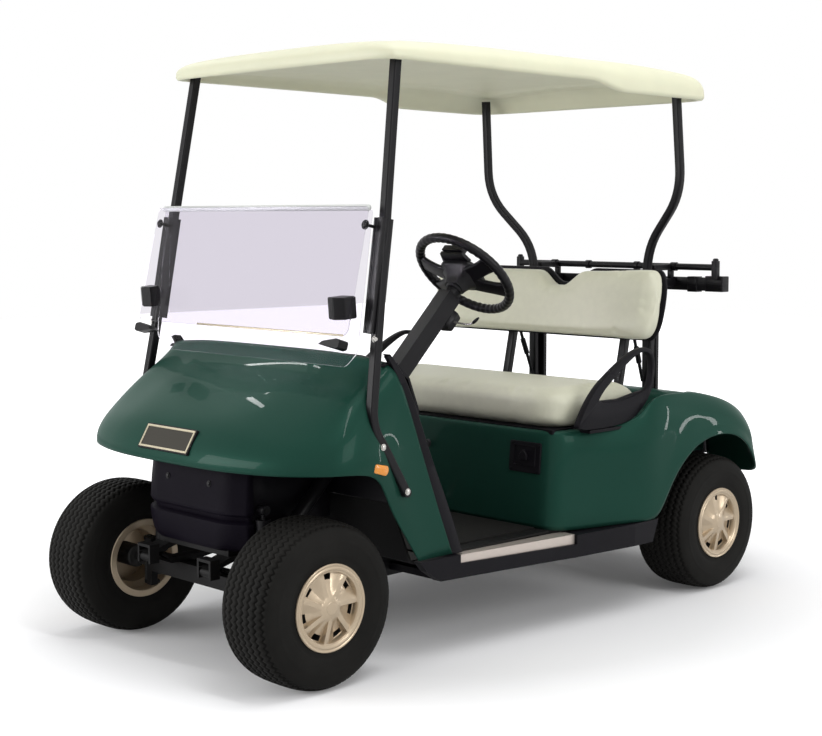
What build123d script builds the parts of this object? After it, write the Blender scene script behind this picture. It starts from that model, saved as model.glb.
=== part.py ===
"""Two-seat electric golf cart with a canopy and a fold-down windshield.

Frame: +X to the left-hand (driver's) side, the nose faces -Y, +Z up, millimetres.
The origin is on the ground at the middle of the cart's length and width.
"""
from build123d import *
from math import atan2, cos, degrees, radians, sin, tan
import os

# ---------------------------------------------------------------- driving sizes
front_axle_y = -961.5        # centre of the front axle
wheelbase = 1676.0
rear_axle_y = front_axle_y + wheelbase
front_track = 864.0          # between the tyres' middle planes
rear_track = 978.0

tyre_radius = 228.5          # 18 x 8.5 - 8 tyre
tyre_width = 200.0
tyre_shoulder = 34.0         # shoulder rounding of the outer section
sidewall = 9.0
rim_radius = 101.6           # bead seat of an 8 inch rim
rim_flange_radius = 118.5
rim_width = 196.0            # over the flanges
rim_wall = 4.0
hub_radius = 34.0
cover_holes = 7              # ventilation holes between the cover's spokes
cover_dome = 4.0             # how far the cover's middle stands past the outer flange
fit_gap = 0.1                # running clearance at pins and shafts
seat_gap = 0.3               # gap of a piece that rests on a curved or soft one

kingpin_inset = 122.0        # kingpin to its tyre's middle plane
kingpin_x = front_track / 2 - kingpin_inset      # kingpins, vertical
kingpin_radius = 8.0
kingpin_tube = 15.0          # outer radius of a knuckle's kingpin tube
yoke_half = 60.0             # half height of a knuckle's kingpin tube
yoke_plate = 10.0
spindle_radius = 12.5
steer_arm = 110.0            # kingpin to tie rod pin
steer_arm_drop = 42.0        # arm's middle below the axle line
tie_pin_radius = 6.0
beam_section = 50.0          # square front axle tube

rail_width = 40.0
rail_height = 60.0
rail_x = 300.0               # middle of a main rail
horn_x = 145.0               # middle of a front rail
rail_low = 216.0             # underside of the main rails
horn_low = 318.0             # underside of the front rails, above the beam

floor_top = 300.0
floor_sheet = 6.0
mat_sheet = 5.0
floor_half = 496.0
sill_inner = floor_half + 2.0
floor_front_y = -640.0
toe_top_y = -712.0           # top of the sloping toe board
toe_top_z = 470.0

panel = 5.0                  # moulded body panel
body_half_front = 510.0      # rear body's half width beside the seat's front
body_half_rear = 590.0       # and at the rear wheels
body_front_y = -58.0          # foot of the skirt under the seat
body_rear_y = 1042.0
seat_deck_z = 592.0          # top of the rear body under the seat

cowl_half = 514.0            # cowl's half width at the trim edge
cowl_fender = 552.0          # and over the front wheels
cowl_lip_z = 577.0           # nose's lower edge
cowl_nose_y = -1116.0

seat_half = 505.0
seat_board = 13.4            # board under the cushion
seat_low = seat_deck_z + seat_board + 2 * seat_gap
seat_thick = 122.0
seat_top = seat_low + seat_thick
seat_front_y = -36.0
seat_rear_y = 392.0

back_half = 512.0
back_low = 858.0
back_top = 1090.0
back_front_y = 392.0         # front face at the bottom
back_thick = 74.0
back_rake = 12.0             # degrees from vertical

strut = 26.0                 # square canopy tube
roof_front_y = -745.0
roof_rear_y = 722.0
roof_half_front = 502.0
roof_half_rear = 535.0
roof_top = 1768.0
roof_lip_front = 1683.0      # lower edge, front part
roof_lip_rear = 1652.0       # lower edge behind the step
roof_wall = 12.0

wheel_centre_x = 250.0       # steering wheel
wheel_centre_y = -180.0
wheel_centre_z = 1084.0
wheel_ring = 159.0           # middle of the rim's tube
wheel_tube = 13.5
column_tilt = 45.0           # axis above the horizontal

acrylic = 4.0                # windshield sheet
shield_half = 492.0          # folded upper panel's half width

os.makedirs("parts", exist_ok=True)


# ---------------------------------------------------------------- helpers
def save(name, *solids):
    """Write one node; several solids stay separate solids."""
    shape = solids[0] if len(solids) == 1 else Compound(children=list(solids))
    export_step(shape, f"parts/{name}.step")


def block(x0, x1, y0, y1, z0, z1):
    """A box between two corners."""
    box = Box(abs(x1 - x0), y1 - y0, z1 - z0)
    return Pos((x0 + x1) / 2, (y0 + y1) / 2, (z0 + z1) / 2) * box


def rod(start, end, radius):
    """A round bar from one point to another."""
    start, end = Vector(*start), Vector(*end)
    axis = end - start
    plane = Plane(origin=start, z_dir=axis)
    return extrude(plane * Circle(radius), axis.length)


def bar(start, end, width, depth, side=(1, 0, 0)):
    """A rectangular bar from one point to another; width lies along side."""
    start, end = Vector(*start), Vector(*end)
    axis = end - start
    plane = Plane(origin=start, x_dir=Vector(*side), z_dir=axis)
    return extrude(plane * Rectangle(width, depth), axis.length)


def bent_bar(points, radii, profile, side=(1, 0, 0)):
    """A bent tube along straight runs joined by arcs."""
    path = FilletPolyline(*points, radius=radii)
    start = Plane(origin=path @ 0, x_dir=Vector(*side), z_dir=path % 0)
    return sweep(start * profile, path=path)


def side_profile(points, x0, x1):
    """Extrude a closed outline of (y, z) points along X."""
    face = make_face(Plane.YZ * Polyline(*points, close=True))
    return Pos(x0, 0, 0) * extrude(face, x1 - x0, dir=(1, 0, 0))


def plan_profile(points, z0, z1):
    """Extrude a closed outline of (x, y) points upwards."""
    face = make_face(Polyline(*points, close=True))
    return Pos(0, 0, z0) * extrude(face, z1 - z0, dir=(0, 0, 1))


def front_profile(points, y0, y1):
    """Extrude a closed outline of (x, z) points towards the rear."""
    face = make_face(Plane.XZ * Polyline(*points, close=True))
    return Pos(0, y0, 0) * extrude(face, y1 - y0, dir=(0, 1, 0))


def mirrored(solid):
    return solid.mirror(Plane.YZ)


def both(solid):
    """A left piece and its mirror image."""
    return [solid, mirrored(solid)]


def cyl_x(x0, x1, y, z, radius):
    """A round bar along X."""
    return Pos((x0 + x1) / 2, y, z) * Rot(0, 90, 0) * Cylinder(radius, abs(x1 - x0))


def cyl_z(x, y, z0, z1, radius):
    """A round bar along Z."""
    return Pos(x, y, (z0 + z1) / 2) * Cylinder(radius, z1 - z0)


# ---------------------------------------------------------------- chassis
axle_z = tyre_radius
rail_top = rail_low + rail_height
rear_rail_low = 296.0        # the rails kick up over the rear axle
rear_rail_top = rear_rail_low + rail_height
horn_top = horn_low + rail_height
horn_front_y = -1022.0
rail_rear_y = 1120.0
kick_y = 330.0               # start of the kick-up
kick_run = 100.0
mast_tube_y = 690.0          # cross tube that carries the rear canopy legs
mast_tube_low = 400.0
mast_tube_top = 440.0
tower_z = 452.0              # front shock absorbers' upper pins
front_shock_x = kingpin_x - 65.0
rear_shock_x = 225.0
rear_damper_top = (mast_tube_y + 34.0, mast_tube_low - 22.0)   # y, z of the upper pins
front_spring_eyes = (-1075.0, -722.0)
front_eye_z = 280.0
rear_spring_eyes = (rear_axle_y - 290.0, rear_axle_y + 290.0)
rear_eye_z = 250.0
eye_radius = 14.0
eye_pin = 6.0
leaf_width = 44.0
lug = 8.0                    # thickness of hanger and shock lugs


def eye_hanger(x, y, z, top):
    """Two cheek plates either side of a spring eye, with its pin."""
    gap = leaf_width / 2 + 1.0
    plates = [
        block(x + s * gap - (lug if s < 0 else 0), x + s * gap + (lug if s > 0 else 0),
              y - 16, y + 16, z - 16, top)
        for s in (-1, 1)
    ]
    pin = cyl_x(x - gap - lug, x + gap + lug, y, z, eye_pin)
    saddle = block(x - gap - lug, x + gap + lug, y - 16, y + 16, top - lug, top)
    return plates[0] + plates[1] + pin + saddle


def chassis():
    run = kick_run
    main = side_profile(
        [(-600, rail_low), (kick_y, rail_low), (kick_y + run, rear_rail_low),
         (rail_rear_y, rear_rail_low), (rail_rear_y, rear_rail_top),
         (kick_y + run - 25, rear_rail_top), (kick_y - 25, rail_top), (-600, rail_top)],
        rail_x - rail_width / 2, rail_x + rail_width / 2)
    horn = side_profile(
        [(-520, rail_low), (-630, rail_low), (-720, horn_low), (horn_front_y, horn_low),
         (horn_front_y, horn_top), (-738, horn_top), (-648, rail_top), (-520, rail_top)],
        horn_x - rail_width / 2, horn_x + rail_width / 2)
    frame = main + mirrored(main) + horn + mirrored(horn)
    inner = rail_x - rail_width / 2 + 1
    cross_members = [            # y0, y1, z0, z1
        (-560, -520, rail_low, rail_top),
        (body_front_y, body_front_y + 50, rail_low, rail_top),
        (270, 310, rail_low, rail_top),
        (540, 580, rear_rail_low, rear_rail_top),
        (1080, rail_rear_y, rear_rail_low, rear_rail_top),
    ]
    for y0, y1, z0, z1 in cross_members:
        frame += block(-inner, inner, y0, y1, z0, z1)
    frame += block(-horn_x, horn_x, horn_front_y, horn_front_y + 30, horn_low, horn_top)
    half = rail_x + rail_width / 2
    frame += block(-half, half, mast_tube_y - 20, mast_tube_y + 20,
                   mast_tube_low, mast_tube_top)
    for s in (-1, 1):
        post = s * rail_x
        frame += block(post - 20, post + 20, mast_tube_y - 20, mast_tube_y + 20,
                       rear_rail_top - 1, mast_tube_low + 1)
        frame += block(s * rear_shock_x - 25, s * rear_shock_x - 17, mast_tube_y,
                       rear_damper_top[0] + 14, mast_tube_low - 36, mast_tube_low + 1)
        frame += cyl_x(s * rear_shock_x - 25, s * rear_shock_x + 16, *rear_damper_top,
                       eye_pin)
        up = s * horn_x
        frame += block(up - 14, up + 14, front_axle_y - 14, front_axle_y + 14,
                       horn_top - 20, tower_z + 22)
        frame += cyl_x(s * (front_shock_x + 16), up, front_axle_y, tower_z, eye_pin)
        for y in front_spring_eyes:
            frame += eye_hanger(up, y, front_eye_z, horn_low + 1)
        for y in rear_spring_eyes:
            frame += eye_hanger(s * rail_x, y, rear_eye_z, rear_rail_low + 1)
    nose_plate = side_profile(
        [(horn_front_y + 60, horn_low + 1), (horn_front_y, horn_low + 1),
         (front_spring_eyes[0] - 16, front_eye_z + 16),
         (front_spring_eyes[0] + 30, front_eye_z + 16)],
        horn_x - leaf_width / 2 - 1 - lug, horn_x + leaf_width / 2 + 1 + lug)
    frame += nose_plate + mirrored(nose_plate)
    frame += block(-horn_x, horn_x, front_axle_y - 12, front_axle_y + 12,
                   tower_z - 2, tower_z + 22)
    return frame


save("chassis_frame", chassis())


# ---------------------------------------------------------------- axles, springs, dampers
leaf = 8.0                   # thickness of one leaf
leaf_flat = 50.0             # half length of the flat on the axle seat
front_leaves = 2
rear_leaves = 3
beam_half = beam_section / 2
diff_radius = 100.0
diff_half = 75.0
axle_tube = 32.0
drum_face_x = rear_track / 2 - rim_width / 2 + 1.0     # where the axle tube ends inside the brake drum
stub_radius = 15.0
motor_radius = 85.0
motor_y = rear_axle_y + 190.0
motor_z = 262.0


def leaf_pack(x, eyes, eye_z, seat_y, seat_z, count, grow):
    """A main leaf with rolled eyes and shorter leaves stacked on it (grow = -1 down, 1 up)."""
    y0, y1 = eyes
    pack = None
    for i in range(count):
        share = 1 - 0.28 * i
        a = seat_y + (y0 - seat_y) * share
        b = seat_y + (y1 - seat_y) * share
        low = seat_z + grow * i * leaf
        rise = (eye_z - seat_z) * share
        outline = [(a, low + rise), (seat_y - leaf_flat, low), (seat_y + leaf_flat, low),
                   (b, low + rise), (b, low + rise + leaf), (seat_y + leaf_flat, low + leaf),
                   (seat_y - leaf_flat, low + leaf), (a, low + rise + leaf)]
        piece = side_profile(outline, x - leaf_width / 2, x + leaf_width / 2)
        pack = piece if pack is None else pack + piece
    for y in eyes:
        pack += cyl_x(x - leaf_width / 2, x + leaf_width / 2, y, eye_z, eye_radius)
    for y in eyes:
        pack -= cyl_x(x - leaf_width, x + leaf_width, y, eye_z, eye_pin + fit_gap)
    return pack


front_seat_z = axle_z + beam_half
rear_seat_z = axle_z - axle_tube - 6.0
save("leaf_springs",
     *both(leaf_pack(horn_x, front_spring_eyes, front_eye_z, front_axle_y,
                     front_seat_z, front_leaves, 1)),
     *both(leaf_pack(rail_x, rear_spring_eyes, rear_eye_z, rear_axle_y,
                     rear_seat_z - leaf, rear_leaves, -1)))


def damper(x, y, low_z, high_y, high_z):
    """A telescopic shock absorber with an eye at each end."""
    low, high = Vector(x, y, low_z), Vector(x, high_y, high_z)
    along = (high - low).normalized()
    body = rod(low + along * 10, low + along * 18, 10)
    body += rod(low + along * 17, low + along * ((high - low).length * 0.55), 18)
    body += rod(low + along * 30, high - along * 12, 6)
    body += rod(low + along * ((high - low).length * 0.5), high - along * 26, 21)
    for end_y, end_z in ((y, low_z), (high_y, high_z)):
        body += cyl_x(x - 14, x + 14, end_y, end_z, 14)
    for end_y, end_z in ((y, low_z), (high_y, high_z)):
        body -= cyl_x(x - 30, x + 30, end_y, end_z, eye_pin + fit_gap)
    return body


front_damper_z = front_seat_z + 24.0
rear_damper = (rear_axle_y + 85.0, 214.0)
save("shock_absorbers",
     *both(damper(front_shock_x, front_axle_y, front_damper_z, front_axle_y, tower_z)),
     *both(damper(rear_shock_x, *rear_damper, *rear_damper_top)))


def front_axle():
    beam = block(-kingpin_x + 28, kingpin_x - 28, front_axle_y - beam_half,
                 front_axle_y + beam_half, axle_z - beam_half, axle_z + beam_half)
    top = axle_z + yoke_half + 0.5
    low = axle_z - yoke_half - 0.5
    for s in (-1, 1):
        x_web = s * (kingpin_x - 29)
        beam += block(x_web - 12, x_web + 12, front_axle_y - 22, front_axle_y,
                      low - yoke_plate, top + yoke_plate)
        for z in (low - yoke_plate, top):
            beam += block(min(x_web, s * kingpin_x), max(x_web, s * kingpin_x),
                          front_axle_y - 16, front_axle_y + 16, z, z + yoke_plate)
            beam += cyl_z(s * kingpin_x, front_axle_y, z, z + yoke_plate, 16)
        beam += cyl_z(s * kingpin_x, front_axle_y, low - 14, top + yoke_plate + 4,
                      kingpin_radius)
        beam += block(s * front_shock_x - 25, s * front_shock_x - 17, front_axle_y - 14,
                      front_axle_y + 14, front_seat_z - 1, front_damper_z + 12)
        beam += cyl_x(s * front_shock_x - 25, s * front_shock_x + 16, front_axle_y,
                      front_damper_z, eye_pin)
    clear = cyl_z(kingpin_x, front_axle_y, low, top, kingpin_tube + 1.5)
    for knuckle_room in both(clear - cyl_z(kingpin_x, front_axle_y, low, top, kingpin_radius)):
        beam -= knuckle_room
    return beam


save("front_axle", front_axle())


def knuckle(s):
    """Kingpin tube, spindle and steering arm; s is 1 on the left."""
    x = s * kingpin_x
    track = s * front_track / 2
    body = cyl_z(x, front_axle_y, axle_z - yoke_half, axle_z + yoke_half, kingpin_tube)
    body += cyl_x(min(x, track + s * 40), max(x, track + s * 40), front_axle_y, axle_z,
                  spindle_radius)
    body += cyl_x(min(x, x + s * 32), max(x, x + s * 32), front_axle_y, axle_z, 20)
    arm_z = axle_z - steer_arm_drop
    end_y = front_axle_y + steer_arm
    body += block(x - 11, x + 11, front_axle_y, end_y, arm_z - 8, arm_z + 8)
    body += cyl_z(x, end_y, arm_z - 8, arm_z + 8, 15)
    body -= cyl_z(x, front_axle_y, axle_z - 100, axle_z + 100, kingpin_radius + fit_gap)
    body -= cyl_z(x, end_y, arm_z - 30, arm_z + 30, tie_pin_radius + fit_gap)
    return body


save("knuckle_left", knuckle(1))
save("knuckle_right", knuckle(-1))


def tie_rod():
    y = front_axle_y + steer_arm
    arm_low = axle_z - steer_arm_drop - 8
    z = arm_low - 14
    link = rod((-kingpin_x, y, z), (kingpin_x, y, z), 8)
    for s in (-1, 1):
        link += cyl_z(s * kingpin_x, y, z - 10, z + 12, 13)
        link += cyl_z(s * kingpin_x, y, z, arm_low + 22, tie_pin_radius)
    return link


save("tie_rod", tie_rod())


def rear_axle():
    axle = cyl_x(-drum_face_x, drum_face_x, rear_axle_y, axle_z, axle_tube)
    axle += cyl_x(-diff_half, diff_half, rear_axle_y, axle_z, diff_radius)
    end = rear_track / 2 + 40
    axle += cyl_x(-end, end, rear_axle_y, axle_z, stub_radius)
    axle += block(2, diff_half, rear_axle_y, motor_y + 60, axle_z - 30, motor_z + 60)
    for s in (-1, 1):
        seat = s * rail_x
        axle += block(seat - 24, seat + 24, rear_axle_y - 40, rear_axle_y + 40,
                      rear_seat_z, axle_z)
        x = s * rear_shock_x
        axle += block(x - 25, x - 17, rear_axle_y, rear_damper[0] + 12,
                      rear_damper[1] - 12, rear_damper[1] + 12)
        axle += cyl_x(x - 25, x + 16, *rear_damper, eye_pin)
    return axle


save("rear_axle", rear_axle())
save("motor", cyl_x(-252, 2, motor_y, motor_z, motor_radius))


# ---------------------------------------------------------------- wheels and tyres
bead_width = rim_width - 8.0


def ring_about_x(points):
    """Revolve an outline of (x, radius) points about the X axis."""
    face = make_face(Polyline(*points, close=True))
    return revolve(face, axis=Axis.X)


def tyre():
    half = tyre_width / 2
    bead = bead_width / 2 - fit_gap
    low = rim_radius + fit_gap
    outer = [
        (-bead, low), (-bead, rim_flange_radius + 2), (-half, rim_flange_radius + 22),
        (-half, tyre_radius - tyre_shoulder), (-half + 10, tyre_radius - 12),
        (-half + 30, tyre_radius - 2.5), (-20, tyre_radius), (20, tyre_radius),
        (half - 30, tyre_radius - 2.5), (half - 10, tyre_radius - 12),
        (half, tyre_radius - tyre_shoulder), (half, rim_flange_radius + 22),
        (bead, rim_flange_radius + 2), (bead, low),
    ]
    w = half - sidewall
    inner = [
        (bead - sidewall - 3, low), (bead - sidewall, rim_flange_radius + 4),
        (w, rim_flange_radius + 24), (w, tyre_radius - tyre_shoulder - 4),
        (w - 22, tyre_radius - 16), (-w + 22, tyre_radius - 16),
        (-w, tyre_radius - tyre_shoulder - 4), (-w, rim_flange_radius + 24),
        (-bead + sidewall, rim_flange_radius + 4), (-bead + sidewall + 3, low),
    ]
    return ring_about_x(outer + inner)


def wheel(bore, drum):
    """Rim, disc, hub and ventilated cover; +X is outboard, origin in the middle plane."""
    half = rim_width / 2
    edge = half - 4.0
    well = rim_radius - 16.0
    t = rim_wall
    rim = ring_about_x([
        (-half, rim_flange_radius), (-edge, rim_flange_radius), (-edge, rim_radius),
        (-50, rim_radius), (-36, well), (30, well), (44, rim_radius), (edge, rim_radius),
        (edge, rim_flange_radius), (half, rim_flange_radius), (half, rim_radius - t),
        (46, rim_radius - t), (32, well - t), (-38, well - t), (-52, rim_radius - t),
        (-half, rim_radius - t)])
    disc = cyl_x(20, 27, 0, 0, well - t + 1)
    hub = cyl_x(-60, 62, 0, 0, hub_radius)
    cover = ring_about_x([
        (half - 6, 0), (half - 6, rim_radius - t), (half, rim_radius - t),
        (half, rim_flange_radius - 3), (half + 3, rim_flange_radius - 3), (half + 3, 100),
        (half - 2, 92),
        (half, 40), (half + cover_dome - 4, 32), (half + cover_dome, 0)])
    cap = cyl_x(60, half - 4, 0, 0, hub_radius - 6)
    for i in range(cover_holes):
        cover -= Pos(half, 0, 0) * Rot(360.0 / cover_holes * i, 0, 0) * Pos(0, 0, 66) * Box(60, 30, 32)
    body = rim + disc + hub + cap + cover
    if drum:
        body += cyl_x(-half + 4, 21, 0, 0, 82) - cyl_x(-half, 8, 0, 0, 76)
        body += cyl_x(-58, 8, 0, 0, hub_radius)
    body -= cyl_x(-200, 44, 0, 0, bore + fit_gap)
    return body


for end, axle_y, track, bore, drum in (
    ("front", front_axle_y, front_track, spindle_radius, False),
    ("rear", rear_axle_y, rear_track, stub_radius, True),
):
    for side, s in (("left", 1), ("right", -1)):
        place = Pos(s * track / 2, axle_y, axle_z) * Rot(0, 0, 0 if s > 0 else 180)
        save(f"wheel_{end}_{side}", place * wheel(bore, drum))
        save(f"tyre_{end}_{side}", place * tyre())


# ---------------------------------------------------------------- floor, rockers, sills
sill_line = [(-480.0, 295.0), (-5.0, 289.0), (-5.0, 259.0), (-480.0, 272.0)]   # y, z around a sill plate
sill_outer_front = sill_inner + 30.0
sill_outer_rear = sill_inner + 56.0

floor_rear_y = body_front_y - 0.4

floor = side_profile(
    [(floor_rear_y, floor_top), (floor_front_y, floor_top), (toe_top_y, toe_top_z),
     (toe_top_y - floor_sheet, toe_top_z), (floor_front_y - floor_sheet, floor_top - 4),
     (floor_front_y - 4, floor_top - floor_sheet), (floor_rear_y, floor_top - floor_sheet)],
    -floor_half, floor_half)
floor_beams = [(30 - floor_half + 6, 60 - floor_half + 6), (-210, 210),
               (floor_half - 66, floor_half - 36)]         # x ranges of the stiffeners
for x0, x1 in floor_beams:
    floor += block(x0, x1, -540, -520, rail_top, floor_top - floor_sheet + 1)
    floor += block(x0, x1, -100, floor_rear_y, rail_top - 20, floor_top - floor_sheet + 1)
for x in (-rail_x, rail_x):
    floor += block(x - 18, x + 18, -600, floor_rear_y, rail_top, floor_top - floor_sheet + 1)
save("floor_pan", floor)

mat_half = floor_half - 50.0
mat_front_y = -560.0
save("floor_mat", block(-mat_half, mat_half, mat_front_y, floor_rear_y - 12, floor_top,
                        floor_top + mat_sheet))

sill_front_y, sill_rear_y = sill_line[0][0], sill_line[1][0]
rocker_plan = plan_profile(
    [(sill_inner, -640), (sill_inner + 26, -640), (sill_inner + 58, -100),
     (body_half_rear, 250), (body_half_rear, 380), (sill_inner, 380)], 200, 330)
rocker_side = side_profile(
    [(-634, 297), (-606, 265), (-556, 231), (-15, 219), (342, 219), (370, 291),
     (sill_rear_y + 0.4, 288), (sill_rear_y + 0.4, sill_line[2][1]), *sill_line[2:],
     (sill_front_y, 297)], sill_inner, body_half_rear + 10)
rocker = rocker_plan & rocker_side
for y in (-560, -40):
    rocker += block(rail_x + rail_width / 2, sill_inner + 1, y, y + 30, 234, 254)
save("rocker_panels", *both(rocker))

sill = side_profile(sill_line, sill_inner - 1, sill_outer_rear + 10)
sill &= plan_profile(
    [(sill_inner - 1, sill_front_y), (sill_outer_front, sill_front_y),
     (sill_outer_rear, sill_rear_y), (sill_inner - 1, sill_rear_y)], 200, 400)
save("sill_plates", *both(sill))


# ---------------------------------------------------------------- front cowl
cowl_sections = [        # y, half widths low, middle and top, heights of the edge and the crown
    (-1130, cowl_fender - 52, cowl_half - 44, cowl_half - 119, 610, 640),
    (-1010, cowl_fender - 24, cowl_half - 6, cowl_half - 84, 672, 713),
    (-915, cowl_fender, cowl_half + 22, cowl_half - 52, 742, 766),
    (-835, cowl_half + 6, cowl_half + 2, cowl_half - 34, 790, 811),
    (-745, cowl_half, cowl_half, cowl_half - 22, 858, 880),
    (-470, cowl_half, cowl_half, cowl_half - 22, 858, 882),
]
cowl_mid_z = 640.0
hood_line = [(-742, 878), (-777, 843), (-1045, 692), (-1080, 655), (-1117, 596),
             (cowl_nose_y, cowl_lip_z)]
trim_line = [(-486, 301), (-541, 425), (-577, 507), (-654, 708), (-711, 851), (-718, 878)]
arch_line = [(-895, cowl_lip_z), (-832, 562), (-798, 532), (-774, 496), (-727, 440),
             (-679, 373), (-632, 301)]
nose_plan = [(0, -1118), (190, -1112), (320, -1088), (430, -1046), (cowl_fender - 47, -995),
             (cowl_fender + 8, -905), (cowl_fender + 8, -460), (0, -460)]


def cowl_tube(inset):
    """Ruled form through the cowl's cross sections, inset by a wall."""
    faces = []
    for y, low, mid, top, edge_z, crown_z in cowl_sections:
        right = [(low - inset, 200), (mid - inset, cowl_mid_z), (top - inset, edge_z - inset),
                 (top * 0.55, crown_z - inset - 3)]
        outline = [(-x, z) for x, z in right] + [(0, crown_z - inset)] + right[::-1]
        faces.append(make_face(Plane.XZ.offset(-y) * Polyline(*outline, close=True)))
    return loft(faces, ruled=True)


def cowl_block(inset, open_below):
    """The cowl's closed outer form, inset by a wall; open_below runs it on down and back."""
    hood = [(y + inset * (0.4 if i < 2 else 0.9), z - (inset if i < 4 else 0))
            for i, (y, z) in enumerate(hood_line)]
    hood[-1] = (hood_line[-1][0] + inset, cowl_lip_z - open_below)
    if open_below:
        side = hood + [(-400, cowl_lip_z - open_below), (-400, hood_line[0][1] - inset)]
    else:
        side = hood + arch_line + trim_line
    plan = [(x - (inset if x > 100 else 0), y + (inset if y < -500 else 0))
            for x, y in nose_plan]
    outline = plan + [(-x, y) for x, y in reversed(plan) if x > 0]
    return cowl_tube(inset) & side_profile(side, -600, 600) & plan_profile(outline, 150, 950)


cowl = cowl_block(0.0, 0.0) - cowl_block(panel, 330.0)
save("cowl", cowl)



# ---------------------------------------------------------------- nose, fascia, lamps
badge_half = 118.0
badge_sheet = 5.0


def badge_plate():
    """A blank plate that lies on the nose's sloping face."""
    low, high = Vector(0, *nose_face_point(0.22)), Vector(0, *nose_face_point(1.0))
    across = (high - low).normalized()
    outwards = Vector(0, -across.Z, across.Y)
    middle = (low + high) * 0.5 + outwards * (badge_sheet / 2 + seat_gap)
    plane = Plane(origin=middle, x_dir=Vector(1, 0, 0), z_dir=outwards)
    return plane * Box(2 * badge_half, (high - low).length, badge_sheet)


def nose_face_point(share):
    """Point on the nose face between its lower knee and its upper knee."""
    y0, z0 = hood_line[4]
    y1, z1 = hood_line[3]
    return y0 + (y1 - y0) * share, z0 + (z1 - z0) * share


save("badge_plate", badge_plate())

fascia_front_y = -1043.0
fascia_rear_y = -985.0
fascia_top = 590.0
fascia_wall = 4.0


def fascia_form(inset):
    rows = [(fascia_top + inset, 214), (549, 218), (470, 232), (399, 232),
            (333 - inset, 180)]
    outline = [(x - inset, z) for z, x in rows] + [(-x + inset, z) for z, x in reversed(rows)]
    form = front_profile(outline, fascia_front_y + inset, fascia_rear_y + inset)
    slope = side_profile(
        [(fascia_front_y + 14 + inset, 700), (fascia_front_y + inset, 480),
         (fascia_front_y + inset, 400), (fascia_front_y + 10 + inset, 333 - inset),
         (fascia_front_y + 10 + inset, 300), (-800, 300), (-800, 700)], -300, 300)
    taper = plan_profile(
        [(-170 + inset, fascia_front_y + inset), (170 - inset, fascia_front_y + inset),
         (236 - inset, fascia_front_y + 26 + inset), (236 - inset, fascia_rear_y + inset),
         (-236 + inset, fascia_rear_y + inset), (-236 + inset, fascia_front_y + 26 + inset)],
        300, 700)
    return form & slope & taper


fascia = fascia_form(0.0) - fascia_form(fascia_wall)
for x in (-70, 70):
    fascia += block(x - 14, x + 14, -1037, horn_front_y, horn_low + 18, horn_top - 8)
save("front_fascia", fascia)

lamp_x, lamp_y, lamp_z = cowl_half + 2.6, -803.0, 588.0
lamp = Pos(lamp_x + 6, lamp_y, lamp_z) * Rot(24, 0, 0) * Box(12, 42, 15)
save("marker_lamps", *both(lamp))


# ---------------------------------------------------------------- dash and steering
dash_line = [(-738, 872), (-700, 872), (-640, 812), (-612, 720), (-640, 640), (-690, 560),
             (-708, 470)]
dash_wall = 8.0
dash_half = cowl_half - 9.0


def strip(points, thick):
    """A bent panel: an outline that follows points and comes back thick behind them."""
    back = []
    for i, (y, z) in enumerate(points):
        before = points[max(i - 1, 0)]
        after = points[min(i + 1, len(points) - 1)]
        dy, dz = after[0] - before[0], after[1] - before[1]
        size = (dy * dy + dz * dz) ** 0.5
        back.append((y + dz / size * thick, z - dy / size * thick))
    return list(points) + back[::-1]


glovebox = (-440.0, -140.0, 706.0, 786.0)        # x0, x1, z0, z1
glovebox_depth = 96.0
glovebox_wall = 4.0
trim_band = 26.0
column_radius = 21.0
column_start = 58.0          # below the steering wheel's centre, along the column
column_end = 985.0
shaft_radius = 9.0


def column_point(d):
    """Point on the steering column's axis, d below the steering wheel's centre."""
    a = radians(column_tilt)
    return (wheel_centre_x, wheel_centre_y - d * cos(a), wheel_centre_z - d * sin(a))


def dash():
    body = side_profile(strip(dash_line, dash_wall), -dash_half, dash_half)
    body &= cowl_block(panel + seat_gap, 330.0)
    x0, x1, z0, z1 = glovebox
    w = glovebox_wall
    deep = -640 - glovebox_depth
    tray = block(x0 - w, x1 + w, deep - w, -600, z0 - w, z1 + w)
    tray &= side_profile([(-900, 600), (-660, 600), (-619, 716), (-648, 806), (-900, 806)],
                         -600, 600)
    body += tray
    body -= block(x0, x1, deep, -500, z0, z1)
    band = side_profile(
        trim_line + [(y + trim_band, z) for y, z in reversed(trim_line)], dash_half - 32,
        dash_half + 30)
    band &= cowl_tube(0.0)
    body += band + mirrored(band)
    body -= rod(column_point(250), column_point(900), column_radius + 3)
    return body


save("dash", dash())

gear_box = (horn_x + rail_width / 2, 268.0, -906.0, -852.0, 338.0, 408.0)
column = rod(column_point(column_start), column_point(column_end), column_radius)
column += bar(column_point(92), column_point(560), 50, 56)
column += block(*gear_box)
column -= rod(column_point(0), column_point(200), shaft_radius + fit_gap)
save("steering_column", column)


def steering_wheel():
    """Rim, hub and spokes, made flat and then tilted onto the column."""
    rim = Torus(wheel_ring, wheel_tube)
    hub = Pos(0, 0, -24) * Cylinder(34, 40) + Pos(0, 0, -46) * Cylinder(26, 22)
    shaft = Pos(0, 0, -110) * Cylinder(shaft_radius, 140)
    spokes = None
    for angle in (24, 156):
        arm = Rot(0, 0, angle) * Pos(wheel_ring / 2 + 6, 0, -9) * Box(wheel_ring - 14, 44, 14)
        spokes = arm if spokes is None else spokes + arm
    holder = Pos(0, -26, 0) * Box(112, 74, 16) + Pos(0, -60, 8) * Box(50, 22, 22)
    flat = rim + hub + shaft + spokes + holder
    centre = Pos(wheel_centre_x, wheel_centre_y, wheel_centre_z)
    return centre * Rot(-column_tilt, 0, 0) * flat


save("steering_wheel", steering_wheel())

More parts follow.
